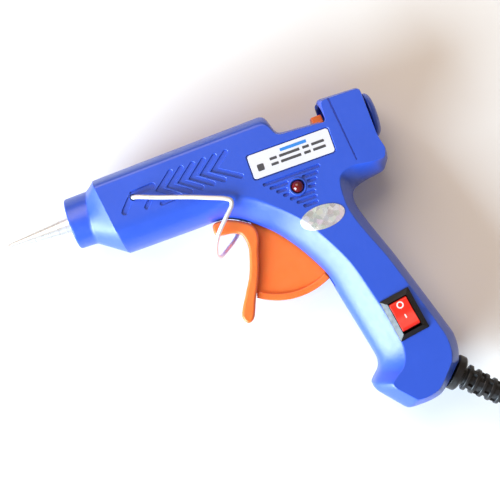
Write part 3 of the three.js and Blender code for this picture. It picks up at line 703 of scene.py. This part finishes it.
# ---- housing ----
# Each row is one corner: its place on the parting plane, the matching corner of the flat side face, how round
# the cross-section is there, and the rounding of the corner itself, 0 where the outline curves on through it.
OUTLINE = [
    (36.7, 11.9, 37.2, 8.0, 1, 0.6),
    (101.0, 13.4, 100.2, 9.2, 1, 2.4),
    (103.4, 5.6, 102.9, 4.2, 0, 2),
    (119.9, 4.3, 120.6, 3.0, 0, 1.2),
    (120.0, 12.0, 121.0, 10.4, 0, 1.8),
    (136.3, 11.4, 135.2, 10.2, 0, 2.0),
    (136.4, -7.5, 135.6, -7.5, 0, 2),
    (138.1, -12.4, 136.8, -12.4, 0, 1.4),
    (137.6, -15.8, 135.7, -15.3, 0, 0.8),
    (135.2, -19.4, 131.6, -15.4, 0, 1.2),
    (125.6, -21.1, 122.0, -14.5, 0, 0),
    (122.4, -22.8, 118.0, -17.5, 0, 0),
    (121.5, -26.2, 117.3, -25.4, 0, 0),
    (129.4, -51.3, 125.3, -50.1, 0, 0),
    (137.3, -76.9, 133.2, -75.6, 0, 0),
    (138.8, -82.3, 134.6, -81.6, 0, 0),
    (138.5, -88.0, 134.5, -86.6, 0, 0),
    (137.2, -91.8, 133.4, -90.0, 0, 0.6),
    (131.1, -97.9, 128.8, -95.2, 0, 0.6),
    (127.4, -100.6, 126.0, -97.6, 0, 0),
    (122.1, -101.7, 121.6, -98.6, 0, 0),
    (114.5, -101.7, 118.2, -98.5, 0, 1.4),
    (106.3, -92.1, 112.6, -92.4, 0, 1),
    (105.8, -89.4, 112.0, -90.4, 0, 0),
    (107.0, -87.8, 114.4, -88.4, 0, 0),
    (109.6, -85.2, 117.0, -86.6, 0, 0),
    (110.5, -82.6, 118.7, -84.2, 0, 0),
    (110.3, -79.8, 119.8, -80.0, 0, 0),
    (109.6, -76.3, 119.6, -74.5, 0, 0),
    (105.8, -58.0, 116.2, -59.5, 0, 0),
    (103.6, -47.8, 113.0, -47.6, 0, 0),
    (102.0, -44.1, 110.9, -42.3, 0, 0),
    (98.0, -36.8, 106.6, -34.0, 0, 0),
    (94.2, -31.2, 102.7, -27.6, 0, 0),
    (90.1, -26.3, 98.3, -22.6, 0, 0),
    (86.0, -22.7, 94.0, -18.4, 0.1, 0),
    (81.8, -19.4, 88.5, -13.4, 0.35, 0),
    (77.2, -17.0, 82.6, -9.9, 0.7, 0),
    (72.8, -16.4, 75.5, -7.6, 1, 0),
    (66.0, -16.5, 66.0, -6.0, 1, 0),
    (40.2, -16.6, 38.8, -5.4, 1, 0.6),
]
# The housing's cross-section, as shares of the bevel's width used up at shares of the half thickness: on the
# handle, where the flat face ends in an edge, and on the barrel, where it rounds off.
LEVELS = [0.011, 0.10, 0.22, 0.33, 0.435, 0.54, 0.66, 0.795, 0.87, 0.92, 0.955, 0.98, 0.994, 1.0]
EDGED = [0.0, 0.0, 0.008, 0.035, 0.09, 0.19, 0.36, 0.58, 0.715, 0.805, 0.87, 0.925, 0.965, 1.0]
ROUND = [0.0, 0.0, 0.01, 0.03, 0.06, 0.11, 0.2, 0.34, 0.46, 0.56, 0.655, 0.75, 0.86, 1.0]
CAVITY = [(0.0, -1.0), (0.06, 4.0), (0.38, 8.0), (1.0, 11.9)]
WALL = 2.1
NECK_R = 9.3
NECK_FRONT = 24.0
SLOT_HALF = 4.4
SCREWS = [tuple(node_centre(f"housing_screw_{i}")[:2]) for i in range(1, 6)]
SCREW_SEAT = 6.5
POST_R = 3.5
STAND_PIVOT = (48.7, 0.85)
SWITCH_TURN = math.radians(9)
RING = rounded_outline(OUTLINE)


def housing_rings(scale_t, inset, side):
    """The outline at each step of the profile, drawn in by an inset."""
    rings = []
    for level, edged, softer in zip(LEVELS, EDGED, ROUND):
        share = edged + (softer - edged) * RING[:, 4:5]
        flat = RING[:, :2] + (RING[:, 2:4] - RING[:, :2]) * share
        t = max(level * HALF_WIDTH * scale_t, PART_GAP) * side
        rings.append([(x, y, t) for x, y in drawn_in(flat, inset)])
    return rings


def shoulder_x(y):
    """The sloping plane where the shoulder meets the body."""
    (top_x, top_y), (bottom_x, bottom_y) = OUTLINE[0][:2], OUTLINE[-1][:2]
    return top_x + (top_y - y) / (top_y - bottom_y) * (bottom_x - top_x)


def front_loft(side):
    """The sloping shoulder and the round neck in front of it."""
    top, bottom = OUTLINE[0], OUTLINE[-1]
    section = [(top[1] + (top[3] - top[1]) * s, k * HALF_WIDTH) for s, k in zip(ROUND, LEVELS)]
    flat_steps = 8
    section += [(top[3] + (bottom[3] - top[3]) * i / flat_steps, HALF_WIDTH) for i in range(1, flat_steps)]
    down = list(zip(ROUND, LEVELS))[::-1]
    section += [(bottom[1] + (bottom[3] - bottom[1]) * s, k * HALF_WIDTH) for s, k in down]
    section = [(y, max(t, PART_GAP)) for y, t in section]
    angles = [math.atan2(y, t) for y, t in section]
    neck = lambda r: [(r * math.sin(a), max(r * math.cos(a), PART_GAP)) for a in angles]
    ring = lambda rows, x_of: [(x_of(y), y, t * side) for y, t in rows]
    join_x = lambda y: 31.3 + 0.13 * y
    rings = [
        ring(neck(NECK_R - 0.9), lambda y: NECK_FRONT),
        ring(neck(NECK_R - 0.5), lambda y: NECK_FRONT + 0.08),
        ring(neck(NECK_R - 0.2), lambda y: NECK_FRONT + 0.3),
        ring(neck(NECK_R), lambda y: NECK_FRONT + 0.9),
        ring(neck(NECK_R + 0.1), lambda y: join_x(y) - 0.7),
    ]
    for share in (0.04, 0.1, 0.3, 0.5, 0.7, 0.9):
        mixed = []
        for (y0, t0), (y1, t1) in zip(neck(NECK_R), section):
            y, t = y0 + (y1 - y0) * share, t0 + (t1 - t0) * share
            x = join_x(y0) + (shoulder_x(y1) - join_x(y0)) * share
            mixed.append((x, y, t * side))
        rings.append(mixed)
    rings.append(ring(section, shoulder_x))
    rings.append([(shoulder_x(y) + 1.5, y * 0.9, max(t * 0.9, PART_GAP) * side) for y, t in section])
    return loft("front", rings)


def coarse_ring(share, margin):
    """The outline's corners at a share of the bevel, drawn in by a margin: the cavity's own outline."""
    rows = np.array(OUTLINE)
    flat = rows[:, :2] + (rows[:, 2:4] - rows[:, :2]) * share
    out = []
    for i, here in enumerate(flat):
        before, after = here - flat[i - 1], flat[(i + 1) % len(flat)] - here
        n0 = np.array([before[1], -before[0]]) / np.linalg.norm(before)
        n1 = np.array([after[1], -after[0]]) / np.linalg.norm(after)
        turn = max(0.5, (1 + n0 @ n1) / 2)
        out.append(here + (n0 + n1) / np.linalg.norm(n0 + n1) * margin / math.sqrt(turn))
    return out


def stroke(points, half, cap=6):
    """The outline of a bar with round ends along a line of two or three points."""
    p = [np.array(q, float) for q in points]
    normals = []
    for i in range(len(p)):
        a = p[i] - p[i - 1] if i > 0 else p[1] - p[0]
        b = p[i + 1] - p[i] if i + 1 < len(p) else p[-1] - p[-2]
        a, b = a / np.linalg.norm(a), b / np.linalg.norm(b)
        n = np.array([-(a + b)[1], (a + b)[0]])
        n = n / np.linalg.norm(n)
        normals.append(n / max(0.4, float(n @ np.array([-a[1], a[0]]))))
    left = [q + n * half for q, n in zip(p, normals)]
    right = [q - n * half for q, n in zip(p, normals)][::-1]

    def end_cap(centre, start):
        a0 = math.atan2(*(start - centre)[::-1])
        turns = [a0 - math.pi * i / cap for i in range(1, cap)]
        return [centre + half * np.array([math.cos(a), math.sin(a)]) for a in turns]

    return left + end_cap(p[-1], left[-1]) + right + end_cap(p[0], right[-1])


def recess(name, shape, depth, lip=0.3, floor=0.12):
    """A tool that cuts shape(grow) into the left side face, with a softly rounded lip and floor."""
    levels = [
        (-0.5, 0.7 * lip + 0.5), (0.02, 0.62 * lip), (0.1 * lip, 0.56 * lip), (0.3 * lip, 0.3 * lip),
        (0.6 * lip, 0.09 * lip), (lip, 0.0), (depth - floor, 0.0), (depth - 0.3 * floor, -0.3 * floor),
        (depth, -floor),
    ]
    rings = [[(x, y, HALF_WIDTH - d) for x, y in shape(grow)] for d, grow in levels]
    return loft(name, rings)


def rounded_rectangle(cx, cy, width, height, radius, grow, turn=0.0):
    out = []
    turn_c, turn_s = math.cos(turn), math.sin(turn)
    w, h, r = width / 2 + grow, height / 2 + grow, max(radius + grow, 0.05)
    for quarter, (sx, sy) in enumerate([(1, 1), (-1, 1), (-1, -1), (1, -1)]):
        for i in range(7):
            a = math.pi / 2 * (quarter + i / 6)
            x, y = sx * (w - r) + r * math.cos(a), sy * (h - r) + r * math.sin(a)
            out.append((cx + x * turn_c - y * turn_s, cy + x * turn_s + y * turn_c))
    return out


CHEVRONS = 6
CHEVRON_START = (58.2, 0.3)
CHEVRON_PITCH = 4.06
VENTS = 7
VENT_START = (93.1, -10.4)
VENT_STEP = (1.8, -1.93)
VENT_RIGHT = [112.9, 111.5, 110.4, 109.3, 108.6, 108.4, 108.2]
LED_AT = tuple(node_centre("led_lamp")[:2])
LED_SEAT_R = 3.3


def face_recesses():
    """Arrow grooves, the grooves round the stand's pivot and the ventilation grooves."""
    tools = []

    def groove(points, half, depth):
        tools.append(recess(f"groove_{len(tools)}", lambda grow: stroke(points, half + grow), depth))

    for i in range(CHEVRONS):
        x, y = CHEVRON_START[0] + CHEVRON_PITCH * i, CHEVRON_START[1]
        last = i == CHEVRONS - 1
        tail = (x + 8.0, y - 5.2) if last else (x + 6.0, y - 4.3)
        groove([(x + 5.6, y + 4.5), (x, y), tail], 0.8, 0.55)
    groove([(48.9, 2.0), (56.4, 2.4)], 0.95, 0.75)
    groove([(48.2, 1.4), (44.2, -3.1)], 0.95, 0.6)
    groove([(54.2, -1.9), (52.0, -4.0)], 0.7, 0.5)
    groove([(57.4, -4.6), (62.0, -4.3)], 0.6, 0.45)
    for i in range(VENTS):
        left, y = VENT_START[0] + VENT_STEP[0] * i, VENT_START[1] + VENT_STEP[1] * i
        right = VENT_RIGHT[i]
        spread = LED_SEAT_R**2 - (y - LED_AT[1]) ** 2
        if spread > 0:
            reach = math.sqrt(spread) + 0.5
            groove([(left, y), (LED_AT[0] - reach - 0.45, y)], 0.5, 0.7)
            groove([(LED_AT[0] + reach + 0.45, y), (right, y)], 0.5, 0.7)
        else:
            groove([(left, y), (right, y)], 0.5, 0.7)
    return tools


def tower_seam(side):
    """The joint line in front of the inlet: a thin cut that follows the surface round the tower."""
    line = [(122.9, 16.0), (123.7, 16.0), (126.3, -13.0), (125.8, -13.0)]
    tool = prism("seam", line, 0, side * 20)
    kept = loft("kept", housing_rings((HALF_WIDTH - 0.5) / HALF_WIDTH, -0.5, side))
    return carve(tool, [kept])


ARCH_POWER = 0.83
ARCH_FOOT = 2.3
ARCH_RISE = 8.2
ARCH_HALF = 12.9


def collar_opening():
    """The arched opening of the raised collar in front of the inlet, with a rounded lip."""
    arch = []
    for i in range(33):
        a = math.pi * i / 32
        arch.append((powered(math.cos(a), ARCH_POWER), abs(math.sin(a)) ** ARCH_POWER))
    rings = []
    for x, grow in ((118.4, 0.5), (120.0, 0.45), (120.5, 0.1), (121.1, 0.0), (126.6, 0.0)):
        rings.append([(x, ARCH_FOOT + (ARCH_RISE + grow) * v, (ARCH_HALF + grow) * u) for u, v in arch])
    return loft("arch", rings)


def housing(side):
    """One half, side 1 for the left and -1 for the right."""
    name = "left" if side > 0 else "right"
    outer = carve(loft(f"shell_{name}", housing_rings(1, 0, side)), [front_loft(side)], "UNION")
    bosses = copy_of(outer, "bosses")
    posts = [prism("post", circle(*at, POST_R, 24), side * 0.3, side * 20) for at in SCREWS]
    pillars = carve(posts[0], posts[1:], "UNION")
    carve(bosses, [pillars], "INTERSECT")
    cavity = loft("cavity", [[(x, y, side * t) for x, y in coarse_ring(s, WALL)] for s, t in CAVITY])
    carve(outer, [cavity])
    carve(outer, [bosses], "UNION")
    relief_bore = [(-9, 0), (-9, 5.3), (-2.7, 5.3), (-2.7, 4), (2, 4), (2, 0)]
    slot = [(83.4, -24), (83.4, -17.5), (98, -17.5), (114, -42), (110, -53), (104.9, -52.4), (96, -48)]
    tools = [
        prism("slot", slot, -side, side * SLOT_HALF),
        block("window", 105.4, 121.0, 1.9, 16, -side, side * 6.4),
        collar_opening(),
        turned("inlet", [(126, 0), (126, 5.8), (138, 5.8), (138, 0)]),
        turned("neck_bore", [(26, 0), (26, 7), (44, 7), (44, 0)]),
        turned("nozzle_bore", [(23, 0), (23, 4.15), (30, 4.15), (30, 0)]),
        turned("relief_bore", relief_bore, (*RELIEF_BASE, 0), RELIEF_AXIS, 32),
        prism("stand_hole", circle(*STAND_PIVOT, 1.2, 20), side * 8, side * 16),
    ]
    carve(outer, tools)
    carve(outer, [tower_seam(side)])
    if side > 0:
        label_low, label_high = node_box("rating_label")
        cx, cy = ((label_low + label_high) / 2)[:2]
        width, height = (label_high - label_low)[:2] + 0.7
        switch_hole = rounded_rectangle(*node_centre("switch_body")[:2], 9.8, 13.6, 0.4, 0, SWITCH_TURN)
        tools = face_recesses() + [
            recess("label", lambda g: rounded_rectangle(cx, cy, width, height, 1.1, g), 0.8),
            recess("led_hole", lambda g: circle(*LED_AT, 2.35 + g), 7, 0.35),
            prism("switch_hole", switch_hole, 2, 16),
        ]
        carve(outer, tools)
        ring = softened([(13.4, 2.55), (14.28, 2.55), (14.28, 3.1), (13.4, 3.5), (13.4, 2.55)], 0.15)
        rim = turned("rim", ring, (*LED_AT, 0), (0, 0, 1), 40)
        carve(outer, [rim], "UNION")
    else:
        wells = []
        for i, (x, y) in enumerate(SCREWS):
            profile = [(2, 0), (2, 1.5), (SCREW_SEAT, 1.5), (SCREW_SEAT, 2.95), (16, 2.95), (16, 0)]
            wells.append(turned(f"well_{i}", profile, (x, y, 0), (0, 0, -1), 32))
        carve(outer, wells)
    outer.name = f"housing_shell_{name}"
    return outer


SKIN = loft("skin", housing_rings(1, 0, 1))
for half_side, half_node in ((1, "housing_left"), (-1, "housing_right")):
    finished(housing(half_side), BLUE, "body", "blue_housing", half_node, angle=32)


# ---- small parts on the housing ----


def inlet_ring():
    disc = [(130.8, 4), (130.8, 5.5), (136.7, 5.5), (136.7, 4)]
    spigot = turned("inlet_collar", softened(disc + [disc[0]], 0.2))
    face = [(136.8, 0), (136.8, 7.8), (137.1, 8.1), (137.9, 8.0), (138.7, 7.2)]
    face += [(139.1, 6.4), (139.3, 5.5), (139.3, 0)]
    plate = turned("plate", softened(face, 0.3), (0, 1, 0), sides=72)
    bore = turned("bore", [(130, 0), (130, 4), (138.6, 4), (139.0, 4.15), (139.3, 4.45), (141, 6), (141, 0)])
    carve(plate, [bore])
    carve(spigot, [plate], "UNION")
    return finished(spigot, BLUE, "body", "blue_housing", "inlet_ring", angle=40)


def nozzle():
    profile = [
        (0.35, 0.8), (0, 0.95), (0, 1.1), (0.25, 1.2), (1.4, 1.3), (4.5, 1.62), (21.5, 3.55), (22.4, 3.6),
        (23.6, 3.75), (25.9, 3.75), (25.9, 2.9), (31, 2.9), (31, 1.6), (3, 0.85), (0.35, 0.8),
    ]
    return finished(turned("nozzle_cone", profile), NOZZLE_METAL, "body", "bright_metal", "nozzle", angle=50)


def lamp():
    dome_t, dome_r = 13.4, 2.1
    profile = [(8, 0), (8, 2.7), (9, 2.7), (9, dome_r), (dome_t, dome_r)]
    profile += [(dome_t + dome_r * math.sin(a), dome_r * math.cos(a)) for a in np.linspace(0.15, 1.5, 9)]
    profile += [(dome_t + dome_r, 0)]
    return finished(
        turned("lamp", profile, (*LED_AT, 0), (0, 0, 1), 32), LENS, "body", "red_lens", "led_lamp", angle=60
    )


def label():
    low, high = node_box("rating_label")
    centre, size = (low + high) / 2, high - low
    top = high[2] + 0.1
    outline, inner = (rounded_rectangle(*centre[:2], *size[:2], 1.0, grow) for grow in (0, -0.06))
    levels = ((outline, low[2]), (outline, top - 0.05), (inner, top))
    rings = [[(x, y, t) for x, y in shape] for shape, t in levels]
    finished(loft("label_film", rings), LABEL_FILM, "body", "label_film", "rating_label")
    bars = []
    for row in range(2):
        y = centre[1] + 0.2 - 2.0 * row
        for start, words in ((-7.6, (2.6, 7.4)), (4.4, (2.4, 4.6))):
            x = centre[0] + start
            for width in words:
                bars.append((x, x + width, y, y + 0.95))
                x += width + 0.9
    bars.append((centre[0] - 12.6, centre[0] - 10.2, centre[1] - 2.1, centre[1] + 0.3))
    print_mesh(bars, top, "label_print", INK)
    band = (centre[0] - 3.2, centre[0] + 6.4, centre[1] + 2.0, centre[1] + 3.1)
    print_mesh([band], top, "label_band", BLUE_INK)


def print_mesh(bars, top, name, ink, thickness=0.04):
    """Flat printed bars as one piece, each a thin closed plate with rounded corners."""
    points, faces = [], []
    for x0, x1, y0, y1 in bars:
        half = (y1 - y0) / 2
        outline = rounded_rectangle((x0 + x1) / 2, (y0 + y1) / 2, x1 - x0, y1 - y0, half * 0.35, 0)
        start, count = len(points), len(outline)
        points += [(x, y, top + 0.005) for x, y in outline] + [(x, y, top + thickness) for x, y in outline]
        faces += [tuple(range(start, start + count)), tuple(range(start + count, start + 2 * count))]
        for i in range(count):
            a, b = start + i, start + (i + 1) % count
            faces.append((a, b, b + count, a + count))
    return finished(new_object(name, points, faces), ink, "body", "label_film", weighted=False)


def sticker():
    """The oval foil, laid over the flat face and the start of the bevel."""
    low, high = node_box("inspection_sticker")
    centre, size = (low + high) / 2, (high - low) / 2
    mesh = SKIN.data
    tree = BVHTree.FromPolygons([v.co[:] for v in mesh.vertices], [p.vertices[:] for p in mesh.polygons])

    def skin_t(x, y):
        hit = tree.ray_cast(place(x, y, 40), Vector((0, 0, -1)))[0]
        return drawn(hit)[2]

    rings, across, thick = [], 40, 0.1
    for share in (0.12, 0.3, 0.5, 0.7, 0.85, 0.95, 1.0):
        ring = []
        for i in range(across):
            a = 2 * math.pi * i / across
            x = centre[0] + size[0] * share * math.cos(a)
            y = centre[1] + size[1] * share * math.sin(a)
            ring.append((x, y, skin_t(x, y) + 0.06))
        rings.append(ring)
    upper = [[(x, y, t + thick) for x, y, t in ring] for ring in rings]
    piece = loft("foil_sticker", rings + upper[::-1])
    return finished(piece, FOIL, "body", "foil", "inspection_sticker", angle=60, weighted=False)


def screws():
    for i, (x, y) in enumerate(SCREWS):
        head = [(0, 0), (0, 1.2), (SCREW_SEAT + 0.3, 1.2), (SCREW_SEAT + 0.3, 2.6), (SCREW_SEAT + 1.6, 2.6)]
        head += [(SCREW_SEAT + 2.3, 1.9), (SCREW_SEAT + 2.5, 0)]
        piece = turned(f"screw_{i + 1}", softened(head, 0.25), (x, y, 0), (0, 0, -1), 32)
        top = -(SCREW_SEAT + 2.7)
        cross = [block("slot_a", x - 1.5, x + 1.5, y - 0.32, y + 0.32, top, top + 1.3)]
        cross.append(block("slot_b", x - 0.32, x + 0.32, y - 1.5, y + 1.5, top, top + 1.3))
        carve(piece, cross)
        finished(piece, SCREW_STEEL, "body", "screw_steel", f"housing_screw_{i + 1}", angle=40)


inlet_ring()
nozzle()
lamp()
label()
sticker()
screws()
bpy.data.objects.remove(SKIN)


# ---- wire stand ----
WIRE_R = 0.8
LEG_T = 15.5


def wire_stand():
    """Both ends turn inwards into the pivot holes. The legs run back on each side and join under the barrel."""
    x, y = STAND_PIVOT
    s = LEG_T
    path = [
        (x, y, 10.6), (x, y, s - 1.6), (x + 0.2, y - 0.1, s - 0.5), (x + 1.5, y - 0.45, s), (57, -2.2, s),
        (66.6, -5.5, s), (73.5, -8.2, s), (78.8, -10.4, s), (80.3, -11.6, s - 0.1), (80.1, -13.1, s - 0.3),
        (76.7, -16.6, 14.6), (72.4, -21, 12.6), (70.2, -24.4, 10), (69.2, -27, 6.6), (69, -28.2, 2.5),
        (69.1, -28.6, -2.5), (69.8, -28.8, -6.4), (71, -28.3, -8.8), (72.8, -27.2, -10.4),
        (75.9, -25.2, -12.2), (78.7, -22.6, -13.8), (81, -18.6, -14.9), (81.3, -14.8, -s + 0.2),
        (80.3, -12, -s + 0.1),
        (78.8, -10.4, -s), (73.5, -8.2, -s), (66.6, -5.5, -s), (57, -2.2, -s),
        (x + 1.5, y - 0.45, -s), (x + 0.2, y - 0.1, -s + 0.5), (x, y, -s + 1.6), (x, y, -10.6),
    ]
    route = smooth_through(path, 0.5)
    piece = sweep("stand_wire", route, WIRE_R)
    return finished(piece, WIRE_METAL, "stand", "stand_wire", "wire_stand", angle=50, weighted=False)


wire_stand()

# ---- trigger and feeder ----
TRIGGER_PIVOT = (94.5, -23.0)
WEB_CENTRE = (92.3, -25.6)
WEB_R = 26.0
RIM = 2.5
PULL_ARM = 14.4
REST_LEAN = math.radians(12)
BLADE_HALF = 6
WEB_HALF = 2.9
RIM_HALF = 3.9
ARM_HALF = 2.4


def arc(centre, radius, start, end, steps):
    turns = [math.radians(start + (end - start) * i / steps) for i in range(steps + 1)]
    return [(centre[0] + radius * math.cos(a), centre[1] + radius * math.sin(a)) for a in turns]


def trigger():
    blade_rows = [
        (70.9, -17.0, 1.6), (73.4, -16.75, 0), (77, -17.35, 0), (81.4, -19.5, 0), (84.8, -22.3, 0),
        (85.4, -26, 0), (83.4, -31.6, 0), (81.7, -36.8, 0), (79.6, -41.8, 0), (77, -46.8, 0), (73.6, -53.6, 0),
        (71.4, -54.2, 0), (70.1, -51.6, 0), (74.2, -43.8, 0), (77.1, -39, 0), (79.1, -33.9, 0),
        (80.4, -29.1, 0), (80.2, -25.6, 0), (79.3, -23.6, 0), (77.5, -22.6, 0), (70.6, -21.5, 1.6),
    ]
    blade = pillow("trigger_lever", rounded_outline(blade_rows, 0.8), BLADE_HALF, 1.1)
    outer = arc(WEB_CENTRE, WEB_R, 235, 297, 40)
    inner = arc(WEB_CENTRE, WEB_R - RIM, 297, 235, 40)
    web = outer + [(101.5, -30), (98.4, -23), (94.5, -19.2), (84.2, -19.2), (84.2, -22), (82.6, -30)]
    px, py = TRIGGER_PIVOT
    tip = (px + PULL_ARM * math.sin(REST_LEAN), py + PULL_ARM * math.cos(REST_LEAN))
    arm = [(px - 3, py + 2), (px + 3, py), (tip[0] + 1.4, tip[1]), (tip[0] - 1.4, tip[1])]
    parts = [
        prism("web", web, -WEB_HALF, WEB_HALF),
        eased(prism("rim", outer + inner, -RIM_HALF, RIM_HALF), 0.45, 3, 60),
        prism("hub", circle(px, py, 4), -RIM_HALF, RIM_HALF),
        prism("arm", arm, -ARM_HALF, ARM_HALF),
        prism("tip", circle(*tip, 2.0), -ARM_HALF, ARM_HALF),
    ]
    carve(blade, parts, "UNION")
    carve(blade, [prism("hole", circle(px, py, 1.8), -5, 5)])
    return finished(blade, ORANGE, "trigger", "orange_plastic", "trigger", angle=40)


def feeder():
    low, high = node_box("feeder_carriage")
    tip_x = TRIGGER_PIVOT[0] + PULL_ARM * math.sin(REST_LEAN)
    channel = eased(block("carriage", low[0], high[0], -5.9, 1.3, -5.9, 5.9), 0.5)
    top = high[1]
    collar_ring = [(-5.2, 0.5), (5.2, 0.5), (5.2, top - 2.4), (3.4, top), (-3.4, top), (-5.2, top - 2.4)]
    collar = loft("collar", [[(x, y, t) for t, y in collar_ring] for x in (high[0] - 4, high[0])])
    lugs = [block(f"lug_{n}", a, a + 1.5, -10.2, -5, -4, 4) for n, a in enumerate((tip_x - 3.9, tip_x + 2.4))]
    carve(channel, [eased(collar, 0.5), *lugs], "UNION")
    bore = turned("bore", [(88, 0), (88, 3.9), (122, 3.9), (122, 0)])
    gap = block("gap", 88, high[0] - 4.2, 0, 5, -3.9, 3.9)
    carve(channel, [bore, gap])
    return finished(channel, ORANGE, "feeder", "orange_plastic", "feeder_carriage", angle=40)


trigger()
feeder()

# ---- rocker switch ----
SWITCH_AT = node_centre("switch_body")[:2]
SWITCH_BEZEL = (11.2, 15.7)
SWITCH_WELL = (7.3, 11.9)
ROCKER_WIDTH = 6.7
ROCKER_TILT = math.radians(8)
ROCKER_PIVOT = 13.0


def on_switch(u, v, t):
    """u across and v along the switch, towards the barrel."""
    c, s = math.cos(SWITCH_TURN), math.sin(SWITCH_TURN)
    return (SWITCH_AT[0] + u * c - v * s, SWITCH_AT[1] + u * s + v * c, t)


def switch_ring(size, t, radius=0.3):
    return [on_switch(u, v, t) for u, v in rounded_rectangle(0, 0, size[0], size[1], radius, 0)]


def bezel():
    w, h = SWITCH_BEZEL
    face = HALF_WIDTH
    levels = [(0, 0.05, 0.3), (0, 0.45, 0.3), (0.12, 0.62, 0.3), (1.9, 1.95, 0.25), (2.15, 2.1, 0.2)]
    rings = [switch_ring((w - 2 * i, h - 2 * i), face + up, r) for i, up, r in levels]
    frame_piece = loft("switch_frame", rings)
    box_low = loft("box", [switch_ring((9.2, 13.0), 3), switch_ring((9.2, 13.0), face + 0.3)])
    carve(frame_piece, [box_low], "UNION")
    well = loft("well", [switch_ring(SWITCH_WELL, 8.5), switch_ring(SWITCH_WELL, 18)])
    carve(frame_piece, [well])
    return finished(frame_piece, BLACK, "body", "black_plastic", "switch_body", angle=40)


def tilted(v, t):
    """A point of the level rocker, turned to its off position."""
    c, s = math.cos(-ROCKER_TILT), math.sin(-ROCKER_TILT)
    dt = t - ROCKER_PIVOT
    return v * c - dt * s, ROCKER_PIVOT + v * s + dt * c


def rocker():
    side = [
        (-4.9, 16.9, 0.7), (-5.3, 15.4, 0.4), (-5.1, 12.6, 0.4), (-2, 10.6, 0.4), (2, 10.6, 0.4),
        (5.1, 12.6, 0.4), (5.3, 15.4, 0.4), (4.9, 16.9, 0.7), (0, 15.9, 1.2),
    ]
    outline = rounded_outline(side, 0.8)
    rings = []
    for u in (-ROCKER_WIDTH / 2, ROCKER_WIDTH / 2):
        rings.append([on_switch(u, *tilted(v, t)) for v, t in outline])
    piece = eased(loft("rocker_button", rings), 0.25, 3, 60)
    finished(piece, RED, "switch_rocker", "red_plastic", "rocker", angle=40)
    rocker_marks()


def rocker_marks():
    """A ring at the off end and a bar at the on end, laid on the two slopes."""

    def laid(outline, lift):
        return [on_switch(u, *tilted(v, 15.9 + abs(v) / 4.9 + lift)) for u, v in outline]

    def plate(name, outline, hole=None):
        piece = loft(name, [laid(outline, -0.1), laid(outline, 0.06)])
        if hole:
            carve(piece, [loft("hole", [laid(hole, -0.5), laid(hole, 0.5)])])
        return finished(piece, WHITE_INK, "switch_rocker", "red_plastic", weighted=False)

    plate("mark_off", circle(0.1, 3.3, 1.25, 32), circle(0.1, 3.3, 0.8, 32))
    plate("mark_on", rounded_rectangle(0, -0.8, 0.5, 1.8, 0.2, 0))


bezel()
rocker()

# ---- CAD pieces that stay as they are, inside the housing ----
KEPT = {
    "melt_chamber": ALUMINIUM,
    "ptc_heater": CERAMIC,
    "heater_clip": SPRING_STEEL,
    "silicone_sleeve": SILICONE,
    "sleeve_clip": SPRING_STEEL,
    "return_spring": SPRING_STEEL,
    "trigger_pin": SPRING_STEEL,
    "led_resistor": CERAMIC,
    "switch_terminal_1": BRASS,
    "switch_terminal_2": BRASS,
    "live_wire_in": RED_WIRE,
    "live_wire_out": RED_WIRE,
    "neutral_wire": WHITE_WIRE,
}
for node, material in KEPT.items():
    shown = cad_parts[node]
    if not shown.material_slots:
        shown.data.materials.append(material)
    for slot in shown.material_slots:
        slot.material = material


# ---- floor and light ----
def floor():
    data = bpy.data.meshes.new("floor")
    reach = 3.0
    corners = [(-reach, -reach, 0), (reach, -reach, 0), (reach, reach, 0), (-reach, reach, 0)]
    data.from_pydata(corners, [], [(0, 1, 2, 3)])
    plane = added(bpy.data.objects.new("floor", data))
    plane.location = (0, 0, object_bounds()[0][2] - 0.0002)
    s = Surface("floor", (0.92, 0.92, 0.92), 0.7)
    s.rough(s.noise(6, 3), 0.05)
    data.materials.append(s.material)
    plane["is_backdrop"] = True


def area_light(name, place_at, aim_at, size, power, colour):
    data = bpy.data.lights.new(name, "AREA")
    data.shape = "RECTANGLE"
    data.size = data.size_y = size
    data.energy = power
    data.color = colour
    light = added(bpy.data.objects.new(name, data))
    light.location = place_at
    light.rotation_euler = (aim_at - place_at).to_track_quat("-Z", "Y").to_euler()


def across(right, up, height):
    """A point from the camera's target: right and up in the picture, and above the table, in metres."""
    c, s = math.cos(CAMERA_ROLL), math.sin(CAMERA_ROLL)
    base = place(*CAMERA_TARGET, TABLE_T)
    return base + Vector((right * c - up * s, right * s + up * c, height))


def lights():
    aim = across(0, 0, 0)
    area_light("window", across(-0.72, -0.68, 0.38), aim, 0.75, 35, (0.70, 0.87, 1.0))
    area_light("room", across(-0.5, 0.7, 1.1), aim, 1.0, 11, (1.0, 0.84, 0.70))
    world = bpy.data.worlds.new("world")
    bpy.context.scene.world = world
    world.use_nodes = True
    back = world.node_tree.nodes["Background"]
    back.inputs["Color"].default_value = (1.0, 0.80, 0.64, 1)
    back.inputs["Strength"].default_value = 0.34
    bpy.context.scene.view_settings.view_transform = "Standard"


floor()
lights()
